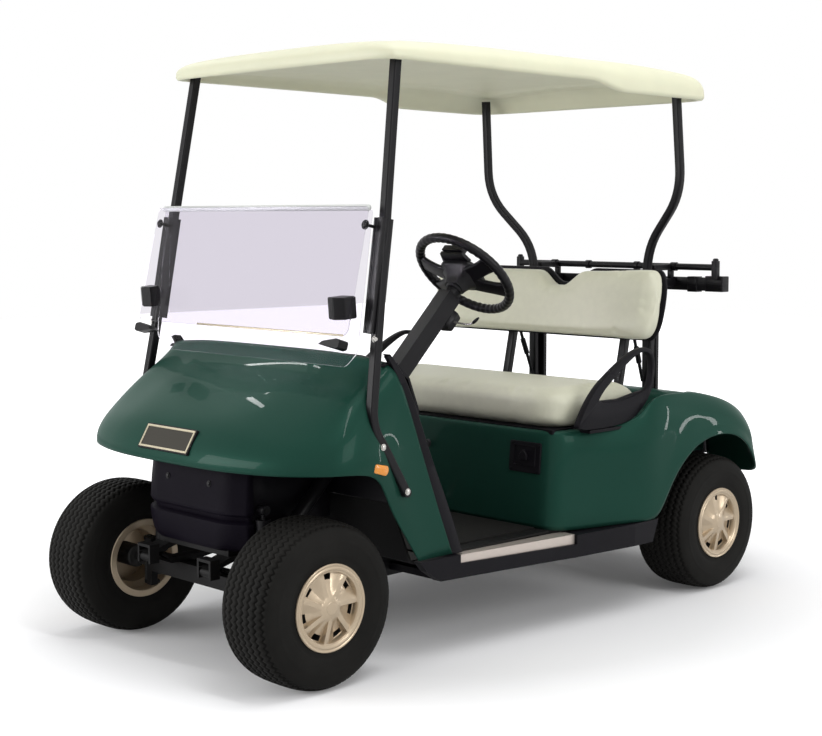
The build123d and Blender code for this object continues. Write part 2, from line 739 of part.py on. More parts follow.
switch_at = Pos(*column_point(150)) * Rot(-column_tilt, 0, 0)
switch = switch_at * Pos(0, 46, 0) * Box(46, 34, 54)
lever_start = switch_at * Pos(0, 46, -6)
lever = rod(lever_start.position, lever_start.position + Vector(112, 0, 12), 3.5)
save("turn_signal", switch + lever)

pedal_table = [        # x, half width, y, z of the pad's middle, pad height
    (wheel_centre_x + 26, 52, -640.0, 416.0, 96),
    (wheel_centre_x - 106, 32, -634.0, 408.0, 120),
]
pedals = []
for x, half, y, z, height in pedal_table:
    pad = Pos(x, y, z) * Rot(27, 0, 0) * Box(2 * half, 10, height)
    stem = bar((x, -600, floor_top + 3), (x, y - 2, z), 16, 12)
    foot = block(x - 24, x + 24, -626, -580, floor_top, floor_top + 6)
    pedals.append(pad + stem + foot)
save("pedals", *pedals)


# ---------------------------------------------------------------- rear body
skirt_foot_z = 301.0
skirt_setback = 24.0         # the skirt's top lies this far behind its foot
fender_line = [(505, seat_deck_z), (531, 697), (620, 690), (712, 674), (810, 652),
               (890, 622), (940, 570), (985, 482), (1026, 392), (1036, 360)]
rear_arch_line = [(1000, 364), (962, 385), (930, 420), (880, 486), (825, 524), (752, 542),
                  (664, 540), (575, 516), (495, 458), (436, 392), (388, 318), (367, 296)]
body_low_line = [(20, 293)]
body_plan = [(0, body_front_y), (body_half_front - 42, body_front_y),
             (body_half_front - 12, body_front_y + 12), (body_half_front, body_front_y + 42),
             (body_half_front + 24, 100),
             (body_half_rear - 30, 190), (body_half_rear, 300),
             (body_half_rear, body_rear_y - 200), (body_half_rear - 14, body_rear_y - 118),
             (body_half_rear - 46, body_rear_y - 52), (body_half_rear - 104, body_rear_y - 12),
             (body_half_rear - 190, body_rear_y), (0, body_rear_y)]


def rear_form(inset, extend):
    """The rear body's closed outer form, inset by a wall; extend opens its underside."""
    top = [(body_front_y + inset, skirt_foot_z),
           (body_front_y + skirt_setback + inset, seat_deck_z - inset)]
    top += [(y + inset * (0.3 if i < 2 else -0.5), z - inset * 0.9)
            for i, (y, z) in enumerate(fender_line)]
    if extend:
        side = [(top[0][0], skirt_foot_z - extend)] + top + [(top[-1][0], skirt_foot_z - extend)]
    else:
        side = top + rear_arch_line + body_low_line
    form = side_profile(side, -body_half_rear - 10, body_half_rear + 10)
    plan = [(x - (inset if x > 0 else 0), y + (inset if y < 0 else 0)
             - (inset if y > body_rear_y - 60 else 0)) for x, y in body_plan]
    outline = plan + [(-x, y) for x, y in reversed(plan) if x > 0]
    form &= plan_profile(outline, 0, 900)
    lean = [(0, -50), (body_half_rear + 30, -50), (body_half_rear + 30, 520),
            (body_half_rear, 560), (body_half_rear - 8, 610), (body_half_rear - 22, 655),
            (body_half_rear - 44, 686), (body_half_rear - 90, 704), (0, 760)]
    lean = [(x - inset if x > 0 else x, z - (inset if z > 500 else 0)) for x, z in lean]
    form &= front_profile(lean + [(-x, z) for x, z in reversed(lean) if x > 0], -300, 1300)
    return form


well_half = 300.0            # bagwell between the rear fenders
well_front_y = 724.0
battery_bay = (-282.0, 282.0, -14.0, 430.0)
rear = rear_form(0.0, 0.0) - rear_form(panel, 300.0)
well_cut = block(-well_half, well_half, well_front_y, 1300, 300, 900)
well_liner = (block(-well_half - panel, well_half + panel, well_front_y - panel, 1300, 420, 900)
              - well_cut) & rear_form(0.0, 0.0)
rear = (rear - well_cut) + well_liner
rear -= block(*battery_bay, seat_deck_z - 30, seat_deck_z + 5)
leg_x = 267.0
post_x, post_y = 262.0, 548.0
post_half = 14.0
for s in (-1, 1):
    for x, y, half in ((s * leg_x, mast_tube_y, strut / 2 + 1), (s * post_x, post_y, post_half + 1)):
        rear -= block(x - half, x + half, y - half, y + half, 500, 900)
save("rear_body", rear)


# ---------------------------------------------------------------- masses behind the skirt
save("battery_block", block(-262, 262, body_front_y + 30, 424, rail_top, 574))

well_floor = 404.0
bumper_y = (1132.0, 1190.0)
bumper_z = (296.0, 356.0)
well = block(-well_half + 1, well_half - 1, well_front_y + 1, 1118, well_floor, well_floor + 6)
well += block(-well_half + 1, well_half - 1, well_front_y + 1, well_front_y + 7, well_floor,
              560)
well += block(-well_half + 1, well_half - 1, 1112, 1118, well_floor, 452)
for x in (-well_half + 1, well_half - 7):
    well += block(x, x + 6, well_front_y + 1, body_rear_y - 4, well_floor, 520)
well += block(-180, 180, 1100, rail_rear_y + 12, rear_rail_top, well_floor + 1)
well += block(-180, 180, rail_rear_y, bumper_y[0] + 1, *bumper_z)
well += block(-300, 300, *bumper_y, *bumper_z)
hitch_hole = 5.5
hitch_spacing = (100.0, 30.0)
for sx in (-1, 1):
    for sz in (-1, 1):
        x = sx * hitch_spacing[0] / 2
        z = sum(bumper_z) / 2 + sz * hitch_spacing[1] / 2
        well -= rod((x, rail_rear_y - 5, z), (x, bumper_y[1] + 5, z), hitch_hole)
save("bagwell", well)


# ---------------------------------------------------------------- fittings on the skirt
skirt_rise = seat_deck_z - skirt_foot_z
skirt_lean = degrees(atan2(skirt_setback, skirt_rise))


def skirt_y(z):
    """The skirt's front face at a height."""
    return body_front_y + skirt_setback * (z - skirt_foot_z) / skirt_rise


knob_x, knob_z = -48.0, 514.0
knob = cyl_z(0, 0, 0, 8, 15) + cyl_z(0, 0, 7, 26, 11)
save("direction_knob",
     Pos(knob_x, skirt_y(knob_z) - 0.4, knob_z) * Rot(90 - skirt_lean, 0, 0) * knob)

charger_x, charger_z = 386.0, 514.0
charger = Box(130, 12, 94) - Pos(0, -6, 6) * Box(88, 16, 60)
save("charger_receptacle",
     Pos(charger_x, skirt_y(charger_z) - 6.8, charger_z) * Rot(-skirt_lean, 0, 0) * charger)


# ---------------------------------------------------------------- seat
seat_hinge = (seat_rear_y, seat_low)
board = block(-seat_half + 25, seat_half - 25, seat_front_y + 8, seat_rear_y - 10,
              seat_deck_z + seat_gap, seat_low - seat_gap)
for x in (-300, 300):
    board += cyl_x(x - 30, x + 30, *seat_hinge, 5.5)
    board += block(x - 30, x + 30, seat_rear_y - 24, seat_rear_y, seat_deck_z + 3,
                   seat_low - seat_gap)
save("seat_base", board)

cushion_plan = [(0, seat_front_y), (420, seat_front_y), (478, seat_front_y + 28),
                (seat_half, seat_front_y + 88), (seat_half - 8, seat_rear_y - 6),
                (0, seat_rear_y - 6)]
cushion = plan_profile(cushion_plan + [(-x, y) for x, y in reversed(cushion_plan) if x > 0],
                       seat_low, seat_top)
cushion = chamfer(cushion.faces().sort_by(Axis.Z)[-1].edges(), 30)
save("seat_cushion", cushion)

hip_x = seat_half + 43.0
hip_outer = [(-6, -2), (42, 82), (114, 147), (239, 219), (317, 242), (371, 228), (385, 194),
             (381, 128), (347, 69), (282, 17), (104, -2)]   # y, height over the cushion's underside
hip_window = [(106, 86), (164, 138), (252, 194), (304, 216), (352, 206), (362, 180), (354, 124),
              (293, 100)]
hip = side_profile([(y, seat_low + z) for y, z in hip_outer], hip_x - 12, hip_x + 12)
hip -= side_profile([(y, seat_low + z) for y, z in hip_window], hip_x - 20, hip_x + 20)
hip += block(seat_half - 25, hip_x, 60, 300, seat_deck_z + seat_gap, seat_low - 1.5)
hip += block(hip_x - 12, hip_x + 12, 60, 300, seat_deck_z + seat_gap, seat_low + 14)
save("hip_restraints", *both(hip))


# ---------------------------------------------------------------- backrest
def raked(y, z):
    """Shift a point rearwards with its height above the backrest's lower edge."""
    return y + (z - back_low) * tan(radians(back_rake)), z


def back_slab(y0, y1, z0, z1, x0, x1):
    return side_profile([raked(y0, z0), raked(y1, z0), raked(y1, z1), raked(y0, z1)], x0, x1)


back_corner = 40.0
notch_half, notch_z = 60.0, 1040.0
back_outline = [(back_half - back_corner, back_low), (back_half, back_low + back_corner),
                (back_half, back_top - back_corner), (back_half - back_corner, back_top),
                (notch_half + 22, back_top), (notch_half, notch_z)]
back_front = front_profile(
    back_outline + [(-x, z) for x, z in reversed(back_outline)], 200, 800)
shell_wall = 14.0
save("backrest_cushion",
     back_slab(back_front_y, back_front_y + back_thick, back_low, back_top, -600, 600)
     & back_front)
shell_y = back_front_y + back_thick + seat_gap
save("backrest_shell",
     back_slab(shell_y, shell_y + shell_wall, back_low, back_top, -600, 600) & back_front)



def backrest_posts(s):
    x = s * post_x
    foot = block(x - post_half, x + post_half, post_y - post_half, post_y + post_half,
                 rear_rail_top, 700)
    rise = bar((x, post_y, 690), (x, raked(shell_y + shell_wall, 880)[0] + 12, 880), 28, 24)
    back = side_profile([raked(shell_y + shell_wall + 0.3, 870), raked(shell_y + shell_wall + 18, 870),
                         raked(shell_y + shell_wall + 18, 1000), raked(shell_y + shell_wall + 0.3, 1000)],
                        x - 14, x + 14)
    brace = rod((x, raked(shell_y + shell_wall + 8, 900)[0], 900),
                (x, mast_tube_y - strut / 2 - 6.4, 690), 6)
    return foot + rise + back + brace


save("backrest_posts", backrest_posts(1), backrest_posts(-1))


# ---------------------------------------------------------------- canopy legs
leg_head_x = roof_half_front - 42.0
leg_side_x = cowl_half + strut / 2 + 5.0
front_leg = [(leg_head_x, -659, 1712), (leg_head_x + 32, -733, 1235),
             (leg_side_x - 15, -789, 900), (leg_side_x, -822, 700), (leg_side_x, -778, 636),
             (leg_side_x, -696, 503)]
leg_section = RectangleRounded(strut, strut, 5)
save("front_struts",
     *both(bent_bar(front_leg, [300, 300, 120, 60], leg_section)))
rear_leg = [(440, 633, 1692), (447, 660, 1342), (leg_x, mast_tube_y, 1150),
            (leg_x, mast_tube_y, mast_tube_top)]
save("rear_struts", *both(bent_bar(rear_leg, [90, 90], leg_section)))


# ---------------------------------------------------------------- roof
roof_plan = [(0, roof_front_y), (roof_half_front - 220, roof_front_y + 6),
             (roof_half_front - 74, roof_front_y + 20),
             (roof_half_front - 28, roof_front_y + 46),
             (roof_half_front - 6, roof_front_y + 96), (roof_half_front, roof_front_y + 205),
             (roof_half_front + 5, 60), (roof_half_front + 14, 180), (roof_half_rear, 320),
             (roof_half_rear, roof_rear_y - 122), (roof_half_rear - 10, roof_rear_y - 54),
             (roof_half_rear - 48, roof_rear_y - 20), (roof_half_rear - 200, roof_rear_y - 6),
             (0, roof_rear_y)]
roof_step = (120.0, 268.0)       # y where the lower edge drops
handle_y, handle_z = (262.0, 400.0), (1668.0, 1692.0)     # hand slots in the sides
roof_crown = [               # y, drop below the top, from the front edge to the rear edge
    (roof_front_y - 5, 78), (roof_front_y + 8, 54), (roof_front_y + 50, 30),
    (roof_front_y + 110, 21), (-420, 11), (-120, 0), (260, 0), (500, 10),
    (roof_rear_y - 82, 26), (roof_rear_y + 5, 50)]
roof_across = [              # x, drop below the top
    (0, 0), (250, 3), (400, 14), (470, 29), (500, 42), (roof_half_rear - 15, 54),
    (roof_half_rear + 25, 78)]


def roof_form(inset):
    """The canopy's outer form, inset by its wall."""
    plan = [(x - (inset if x > 100 else 0), y + (inset if y < -600 else 0)
             - (inset if y > 640 else 0)) for x, y in roof_plan]
    form = plan_profile(plan + [(-x, y) for x, y in reversed(plan) if x > 0], 1600, 1800)
    top = roof_top - inset
    crown = [(y, top - drop) for y, drop in roof_crown]
    low = [(roof_rear_y + 5, roof_lip_rear - 3 * inset), (roof_step[1], roof_lip_rear - 3 * inset),
           (roof_step[0], roof_lip_front - 3 * inset), (roof_front_y - 5, roof_lip_front - 3 * inset)]
    form &= side_profile(crown + low, -600, 600)
    across = [(x, top - drop) for x, drop in roof_across]
    across.append((across[-1][0], roof_lip_rear - 50))
    form &= front_profile(across + [(-x, z) for x, z in reversed(across) if x > 0], -900, 900)
    return form


roof = roof_form(0.0) - roof_form(roof_wall)
front_pad = block(leg_head_x - 24, leg_head_x + 26, -690, -630, 1704, 1730)
rear_pad = block(412, 466, 606, 660, 1664, 1745)
for pad in (front_pad, rear_pad):
    for solid in both(pad & roof_form(2.0)):
        roof += solid
for points in (front_leg, rear_leg):
    tip, after = Vector(*points[0]), Vector(*points[1])
    away = (tip - after).normalized()
    socket = bar(tip - away * 60, tip + away * 0.3, strut + 0.6, strut + 0.6)
    for solid in both(socket):
        roof -= solid
for s in (-1, 1):
    roof -= block(min(s * 502, s * 600), max(s * 502, s * 600), *handle_y, *handle_z)
save("roof", roof)


# ---------------------------------------------------------------- windshield
lower_foot, lower_head = (-832.0, 846.0), (-787.0, 1226.0)
upper_head, upper_foot = (-800.0, 1232.0), (-866.0, 940.0)


def sheet(foot, head, half_foot, half_head, corner, thick=acrylic):
    """A flat acrylic panel between two (y, z) edges with clipped lower corners."""
    low, high = Vector(0, *foot), Vector(0, *head)
    rise = high - low
    plane = Plane(origin=low, x_dir=Vector(1, 0, 0), z_dir=Vector(0, -rise.Z, rise.Y))
    side = [(half_foot - corner, 0), (half_foot, corner * 0.6), (half_head, rise.length)]
    outline = Polyline(*(side + [(-x, y) for x, y in reversed(side)]), close=True)
    return extrude(plane * make_face(outline), thick / 2, both=True)


lower_sheet = (lower_foot, lower_head, shield_half - 22, shield_half - 10, 40)
upper_sheet = (upper_foot, upper_head, shield_half, shield_half - 6, 12)
save("windshield_lower", sheet(*lower_sheet))
save("windshield_upper", sheet(*upper_sheet))


# ---------------------------------------------------------------- bag rack
rack_y, rack_z = 850.0, 1090.0
lower_rack_y, lower_rack_z = 872.0, 1034.0
rack_half = 478.0
rack = cyl_x(-rack_half, rack_half, rack_y, rack_z, 11)
for s in (-1, 1):
    rack += cyl_x(s * (rack_half - 2), s * (rack_half + 26), rack_y, rack_z, 18)
    arm_x = s * leg_x
    rack += block(arm_x - 12, arm_x + 12, mast_tube_y + strut / 2 + seat_gap, lower_rack_y,
                  1020, 1048)
    rack += side_profile([(mast_tube_y + strut / 2 + seat_gap, 1076), (rack_y + 6, 1080),
                          (rack_y + 6, 1098), (mast_tube_y + strut / 2 + seat_gap, 1098)],
                         arm_x - 10, arm_x + 10)
    rack += block(arm_x - 10, arm_x + 10, rack_y - 8, rack_y + 8, 1030, rack_z)
    rack += block(s * 400 - 30, s * 400 + 30, lower_rack_y - 22, lower_rack_y + 22,
                  lower_rack_z - 20, lower_rack_z + 20)
rack += block(10 - rack_half, rack_half - 10, lower_rack_y - 8, lower_rack_y + 8, lower_rack_z - 14,
              lower_rack_z + 14)
save("bag_rack", rack)


# ---------------------------------------------------------------- windshield fittings
def strut_point(z):
    """Centre of the left front leg at a height."""
    for (x0, y0, z0), (x1, y1, z1) in zip(front_leg, front_leg[1:]):
        if z1 <= z <= z0:
            share = (z - z0) / (z1 - z0)
            return x0 + (x1 - x0) * share, y0 + (y1 - y0) * share
    return front_leg[0][:2]


def on_line(foot, head, z):
    return foot[0] + (head[0] - foot[0]) * (z - foot[1]) / (head[1] - foot[1])


half_strut = strut / 2
grip_heights = (917.0, 1200.0)
hook_z = 1019.0
glass_room = sheet(*lower_sheet, thick=acrylic + 2 * seat_gap)
glass_room += sheet(*upper_sheet, thick=acrylic + 2 * seat_gap)


def grip(z):
    """Clamp that holds the lower panel's edge to the front leg."""
    x, y = strut_point(z)
    glass_y = on_line(lower_foot, lower_head, z)
    body = block(x - 60, x - half_strut - 1.3, glass_y - 9, y + 6, z - 12, z + 12)
    jaw = block(x - 60, x - half_strut - 20, glass_y - 9, glass_y + 9, z - 12, z + 12)
    return (body + jaw) - glass_room


def hook():
    """Clip between the two panels that keeps the folded one in place."""
    upper_y = on_line(upper_foot, upper_head, hook_z)
    lower_y = on_line(lower_foot, lower_head, hook_z)
    body = block(446, 474, upper_y, lower_y, hook_z - 16, hook_z + 16)
    pad = block(446, 474, upper_y - 8, upper_y + 4, hook_z - 16, hook_z + 16)
    return body + pad - glass_room


def largest(solid):
    return solid.solids().sort_by(SortBy.VOLUME)[-1]


pieces = [grip(z) for z in grip_heights] + [hook()]
save("windshield_clips", *[one for piece in pieces for one in both(largest(piece))])
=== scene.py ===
# %% [markdown]
# # A two-seat golf cart, dressed
# The CAD model gives every piece its place: +X is the driver's side, the nose faces -Y,
# Z is up, metres. This lesson lays finished surfaces over it. Each shape is worked out with
# numpy as a surface of two parameters, and each finish is a small tree of shader nodes.

# %% Load the frame
import bmesh
import bpy
import math
import numpy as np
from mathutils import Matrix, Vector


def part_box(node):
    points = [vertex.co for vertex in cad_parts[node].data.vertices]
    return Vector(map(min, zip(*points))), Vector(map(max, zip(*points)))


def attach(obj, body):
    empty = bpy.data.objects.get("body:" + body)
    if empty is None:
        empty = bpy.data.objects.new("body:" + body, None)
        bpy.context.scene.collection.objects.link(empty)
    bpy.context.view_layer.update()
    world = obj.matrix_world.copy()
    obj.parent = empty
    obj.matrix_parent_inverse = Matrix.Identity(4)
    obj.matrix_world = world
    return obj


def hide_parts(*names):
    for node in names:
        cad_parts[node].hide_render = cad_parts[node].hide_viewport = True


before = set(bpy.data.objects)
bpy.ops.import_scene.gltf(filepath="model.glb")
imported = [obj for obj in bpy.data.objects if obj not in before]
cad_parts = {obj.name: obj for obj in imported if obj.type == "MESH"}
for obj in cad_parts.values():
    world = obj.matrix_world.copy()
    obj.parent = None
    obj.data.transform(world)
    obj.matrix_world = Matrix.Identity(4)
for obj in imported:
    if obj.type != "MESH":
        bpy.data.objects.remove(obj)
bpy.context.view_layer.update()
scene = bpy.context.scene

# %% [markdown]
# The camera stands low in front of the driver's side corner. Its place was solved once from
# known sizes of the cart, so here it is only a place, three angles and a lens.
# Blender looks along the camera's own -Z, so its axes are the columns of a turned matrix.

# %% Camera
camera_place = (3.532, -3.5125, 1.241)
camera_azimuth = math.radians(43.858)     # from -Y towards +X
camera_elevation = math.radians(5.111)
camera_roll = math.radians(0.184)
picture_width, picture_height = 822, 736
focal_pixels = 1516.85
middle_x, middle_y = 482.95, 358.54       # pixel where the optical axis lands


def unit(vectors):
    """Vectors divided by their length, along the last axis."""
    vectors = np.asarray(vectors, float)
    return vectors / np.linalg.norm(vectors, axis=-1, keepdims=True)


def camera_axes(azimuth, elevation, roll):
    """Right, up and back vectors: back points from the target to the camera."""
    back = np.array([math.sin(azimuth) * math.cos(elevation),
                     -math.cos(azimuth) * math.cos(elevation), math.sin(elevation)])
    right = unit(np.cross((0, 0, 1), back))
    up = np.cross(back, right)
    c, s = math.cos(roll), math.sin(roll)
    return c * right + s * up, c * up - s * right, back


def set_up(name, data, axes, place):
    """A scene object at place whose own X, Y and Z lie along the three axes."""
    item = bpy.data.objects.new(name, data)
    scene.collection.objects.link(item)
    matrix = np.eye(4)
    matrix[:3, :3] = np.column_stack(axes)
    matrix[:3, 3] = place
    item.matrix_world = Matrix(matrix.tolist())
    return item


camera_data = bpy.data.cameras.new("camera")
camera_data.sensor_width = 36.0
camera_data.lens = focal_pixels / picture_width * camera_data.sensor_width
camera_data.shift_x = (picture_width / 2 - middle_x) / picture_width
camera_data.shift_y = (middle_y - picture_height / 2) / picture_width
camera_data.clip_end = 60.0
scene.camera = set_up("camera", camera_data,
                      camera_axes(camera_azimuth, camera_elevation, camera_roll), camera_place)
print("lens %.1f mm" % camera_data.lens)

# %% [markdown]
# A white studio: the world is plain white to the camera and in reflections, and a softer
# grey as light. Its shader asks the Light Path node what kind of ray is looking. A node tree
# is a few nodes and the sockets that feed them, so one small class writes all of them.

# %% Node trees and the world
scene.view_settings.view_transform = "Standard"


class Tree:
    """The emptied node tree of a material or world, with its output node."""

    def __init__(self, owner, output="OutputMaterial"):
        """Clear the owner's tree and give it its output."""
        owner.use_nodes = True
        owner.node_tree.nodes.clear()
        self.nodes, self.links = owner.node_tree.nodes, owner.node_tree.links
        self.out = self.add(output)

    def add(self, kind, sources=(), operation=None, **values):
        """A new node. Sources are sockets that feed its inputs, by name or number; values
        are fixed inputs by name."""
        node = self.nodes.new("ShaderNode" + kind)
        if operation:
            node.operation = operation
        for name, value in values.items():
            node.inputs[name.replace("_", " ")].default_value = value
        for name, source in dict(sources).items():
            self.links.new(source, node.inputs[name])
        return node

    def larger(self, first, second):
        """The larger of two values."""
        return self.add("Math", {0: first, 1: second}, "MAXIMUM").outputs[0]

    def mixed(self, share, first, second):
        """Two shaders mixed and sent to the output: first at share 0, second at share 1."""
        sources = {0: share, 1: first.outputs[0], 2: second.outputs[0]}
        self.links.new(self.add("MixShader", sources).outputs[0], self.out.inputs[0])


def white_world(strength):
    """White to the camera, to mirrors and through glass; grey light for everything else."""
    world = scene.world = bpy.data.worlds.new("studio")
    tree = Tree(world, "OutputWorld")
    ray = tree.add("LightPath").outputs
    seen = tree.larger(ray["Is Camera Ray"], ray["Is Transmission Ray"])
    tree.mixed(tree.larger(seen, ray["Is Glossy Ray"]),
               tree.add("Background", Color=(1, 1, 1, 1), Strength=strength),
               tree.add("Background", Color=(1, 1, 1, 1), Strength=1.0))


white_world(0.50)

# %% [markdown]
# Three soft boxes light the cart from above, from the front and from the driver's side.
# Clear coat looks wet because it mirrors narrow bright things, so three strip lights are set
# where the coat reflects them to the camera: a streak on the hood, one on its corner and
# one along the rear arch.

# %% Lamps
def area_lamp(name, place, target, size, power, up=(0, 0, 1)):
    """A soft box at place that faces target, its second side as near to up as it can be."""
    data = bpy.data.lights.new(name, "AREA")
    data.shape = "RECTANGLE"
    data.size, data.size_y = size
    data.energy = power
    back = unit(np.subtract(place, target))
    high = unit(up - np.dot(up, back) * back)
    return set_up(name, data, (np.cross(high, back), high, back), place)


def strip_light(name, ends, width, target, power):
    """A long thin lamp between two ends that faces target; the camera doesn't see it."""
    first, last = np.array(ends)
    run = last - first
    lamp = area_lamp(name, (first + last) / 2, target, (width, np.linalg.norm(run)), power, run)
    lamp.visible_camera = False


area_lamp("top_box", (0.6, 0.2, 4.6), (0, 0, 0.6), (4.2, 3.4), 78, (0, 1, 0))
area_lamp("front_box", (-2.4, -5.2, 1.7), (0, -0.6, 0.8), (2.6, 1.8), 142)
area_lamp("side_box", (5.2, 0.4, 2.4), (0.3, 0.1, 0.6), (2.0, 2.2), 74)
strip_light("hood_strip", [(-3.15, -0.55, 4.45), (-3.90, 0.25, 3.60)], 0.045,
            (0.25, -0.85, 0.8), 7)
strip_light("corner_strip", [(1.4, -1.4, 5.3), (3.9, -0.9, 4.4)], 0.18, (0.5, -0.88, 0.73), 38)
strip_light("arch_strip", [(3.35, 4.55, 0.05), (3.35, 4.55, 0.95)], 0.10, (0.59, 0.44, 0.6), 10)

# %% [markdown]
# The floor is a plain plane. Its own colour is nearly white, and for the camera and through
# the windshield a little emission lifts it. The lift grows away from the cart, where the
# lamps reach less, so the far floor melts into the backdrop and only the shadow shows.

# %% Floor
def studio_floor(half, near_lift, far_lift):
    """A square of half width half at z = 0, lifted towards white for the camera."""
    mesh = bpy.data.meshes.new("floor")
    mesh.from_pydata([(-half, -half, 0), (half, -half, 0), (half, half, 0), (-half, half, 0)],
                     [], [(0, 1, 2, 3)])
    floor = bpy.data.objects.new("floor", mesh)
    scene.collection.objects.link(floor)
    material = bpy.data.materials.new("white_floor")
    mesh.materials.append(material)
    tree = Tree(material)
    place = tree.add("TexCoord").outputs["Object"]
    distance = tree.add("VectorMath", {0: place}, "LENGTH").outputs["Value"]
    lift = tree.add("MapRange", {"Value": distance}, From_Min=0.9, From_Max=3.6,
                    To_Min=near_lift, To_Max=far_lift).outputs["Result"]
    ray = tree.add("LightPath").outputs
    seen = tree.larger(ray["Is Camera Ray"], ray["Is Transmission Ray"])
    amount = tree.add("Math", {0: seen, 1: lift}, "MULTIPLY").outputs[0]
    matt = tree.add("BsdfDiffuse", Color=(0.9, 0.9, 0.91, 1))
    glow = tree.add("Emission", {"Strength": amount}, Color=(1, 1, 1, 1))
    both = tree.add("AddShader", {0: matt.outputs[0], 1: glow.outputs[0]})
    tree.links.new(both.outputs[0], tree.out.inputs[0])


studio_floor(14.0, 0.05, 0.95)
print("studio ready")

# %% [markdown]
# ## Finishes
# Every finish starts from one Principled shader. A fine noise or cell pattern in Object
# coordinates feeds its bump and roughness, so a moulded panel is never perfectly even.
# Numbers that are the same everywhere are set on the shader's own sockets.

# %% Building blocks for finishes
finishes = {}


class Finish(Tree):
    """A named material with one Principled shader."""

    def __init__(self, name, colour, roughness, **values):
        """Values are the shader's other inputs by name."""
        finishes[name] = bpy.data.materials.new(name)
        super().__init__(finishes[name])
        self.shader = self.add("BsdfPrincipled", Base_Color=(*colour, 1), Roughness=roughness,
                               **values)
        self.links.new(self.shader.outputs[0], self.out.inputs[0])

    def pattern(self, kind, scale, stretch=(1, 1, 1), **values):
        """A noise or cell texture on Object coordinates; scale is patterns per metre."""
        place = self.add("TexCoord").outputs["Object"]
        mapping = self.add("Mapping", {0: place}, Scale=stretch).outputs[0]
        return self.add(kind, {"Vector": mapping}, Scale=scale, **values)

    def tones(self, source, *stops):
        """Base colour from a ramp on a value; stops are (position, linear colour)."""
        band = self.add("ValToRGB", {0: source})
        for element, (position, colour) in zip(band.color_ramp.elements, stops):
            element.position = position
            element.color = (*colour, 1)
        self.links.new(band.outputs[0], self.shader.inputs["Base Color"])

    def roughen(self, source, low, high):
        """Roughness from a value, stretched from 0..1 to low..high."""
        fit = self.add("MapRange", {"Value": source}, To_Min=low, To_Max=high)
        self.links.new(fit.outputs["Result"], self.shader.inputs["Roughness"])

    def bump(self, source, distance, strength=1.0):
        """Bump on the shader's normal from a height; distance is the height in metres."""
        node = self.add("Bump", {"Height": source}, Distance=distance, Strength=strength)
        self.links.new(node.outputs[0], self.shader.inputs["Normal"])


def grained(name, colour, roughness, scale, depth, tone=0.12, **values):
    """A moulded or coated surface: grain as bump, and a faint unevenness of tone."""
    finish = Finish(name, colour, roughness, **values)
    grain = finish.pattern("TexNoise", scale, Detail=3.0).outputs[0]
    finish.bump(grain, depth)
    cloud = finish.pattern("TexNoise", 9.0, Detail=3.0).outputs[0]
    finish.tones(cloud, (0.3, [c * (1 - tone) for c in colour]),
                 (0.7, [min(1.0, c * (1 + tone)) for c in colour]))
    finish.roughen(grain, roughness - 0.05, roughness + 0.07)


# %% [markdown]
# The body is a deep green metallic under clear coat. Metal flakes are far smaller than a
# pixel, so they show as a soft sheen: a Voronoi cell pattern of about half a millimetre
# tilts the base layer's brightness a little, and the coat stays mirror smooth.

# %% Green metallic paint
deep, bright = (0.0066, 0.031, 0.0215), (0.0112, 0.046, 0.0330)
paint = Finish("green_metallic", deep, 0.36, Metallic=0.16, Coat_Weight=0.2,
               Coat_Roughness=0.02, Coat_IOR=1.25, Specular_IOR_Level=0.06,
               Specular_Tint=(0.30, 0.80, 0.62, 1))
flakes = paint.pattern("TexVoronoi", 1900.0, Detail=2.0).outputs
paint.tones(flakes["Color"], (0.2, deep), (0.8, bright))
paint.roughen(flakes["Distance"], 0.32, 0.42)

# %% [markdown]
# The roof is one vacuum-formed stone-coloured sheet with a satin skin. The seats are
# vinyl: a cell pattern about 1.6 mm across is the pressed grain.

# %% Stone roof and vinyl
grained("roof_stone", (0.670, 0.670, 0.495), 0.46, 420.0, 0.00012, 0.025,
        Subsurface_Weight=0.02)
vinyl_colour = (0.600, 0.598, 0.468)
vinyl = Finish("stone_vinyl", vinyl_colour, 0.44, Sheen_Weight=0.12)
cells = vinyl.pattern("TexVoronoi", 620.0, Detail=2.0)
cells.feature = "DISTANCE_TO_EDGE"
vinyl.bump(cells.outputs["Distance"], 0.00025, 0.55)
clouds = vinyl.pattern("TexNoise", 38.0, Detail=4.0).outputs[0]
vinyl.tones(clouds, (0.25, [c * 0.93 for c in vinyl_colour]), (0.75, vinyl_colour))
vinyl.roughen(clouds, 0.38, 0.52)

# %% [markdown]
# Black parts differ in sheen: textured plastic on trims and the fascia, a smoother powder
# coat on tubes, dull paint on the chassis.

# %% Blacks
grained("textured_black", (0.0054, 0.0049, 0.0068), 0.48, 900.0, 0.00022, 0.10,
        Specular_IOR_Level=0.11)
grained("fascia_violet", (0.0046, 0.0034, 0.0068), 0.50, 900.0, 0.00022, 0.10,
        Specular_IOR_Level=0.04)
grained("powder_black", (0.0060, 0.0056, 0.0068), 0.36, 1500.0, 0.00006, 0.10,
        Specular_IOR_Level=0.18)
grained("chassis_black", (0.0055, 0.0052, 0.0054), 0.52, 300.0, 0.0003, 0.25,
        Specular_IOR_Level=0.15)
grained("moulded_black", (0.0048, 0.0044, 0.0054), 0.34, 1100.0, 0.00008, 0.10,
        Specular_IOR_Level=0.2)
grained("case_grey", (0.0300, 0.0300, 0.0330), 0.5, 700.0, 0.0002, 0.1)
grained("cast_black", (0.0120, 0.0118, 0.0115), 0.6, 260.0, 0.0005, 0.25)
grained("mat_rubber", (0.0070, 0.0066, 0.0062), 0.7, 700.0, 0.0003, 0.15,
        Specular_IOR_Level=0.12)

# %% [markdown]
# Tyre rubber is dull and slightly brown where dust sits; wheel covers are satin champagne;
# sill plates are a pale anodised alloy brushed along the cart.

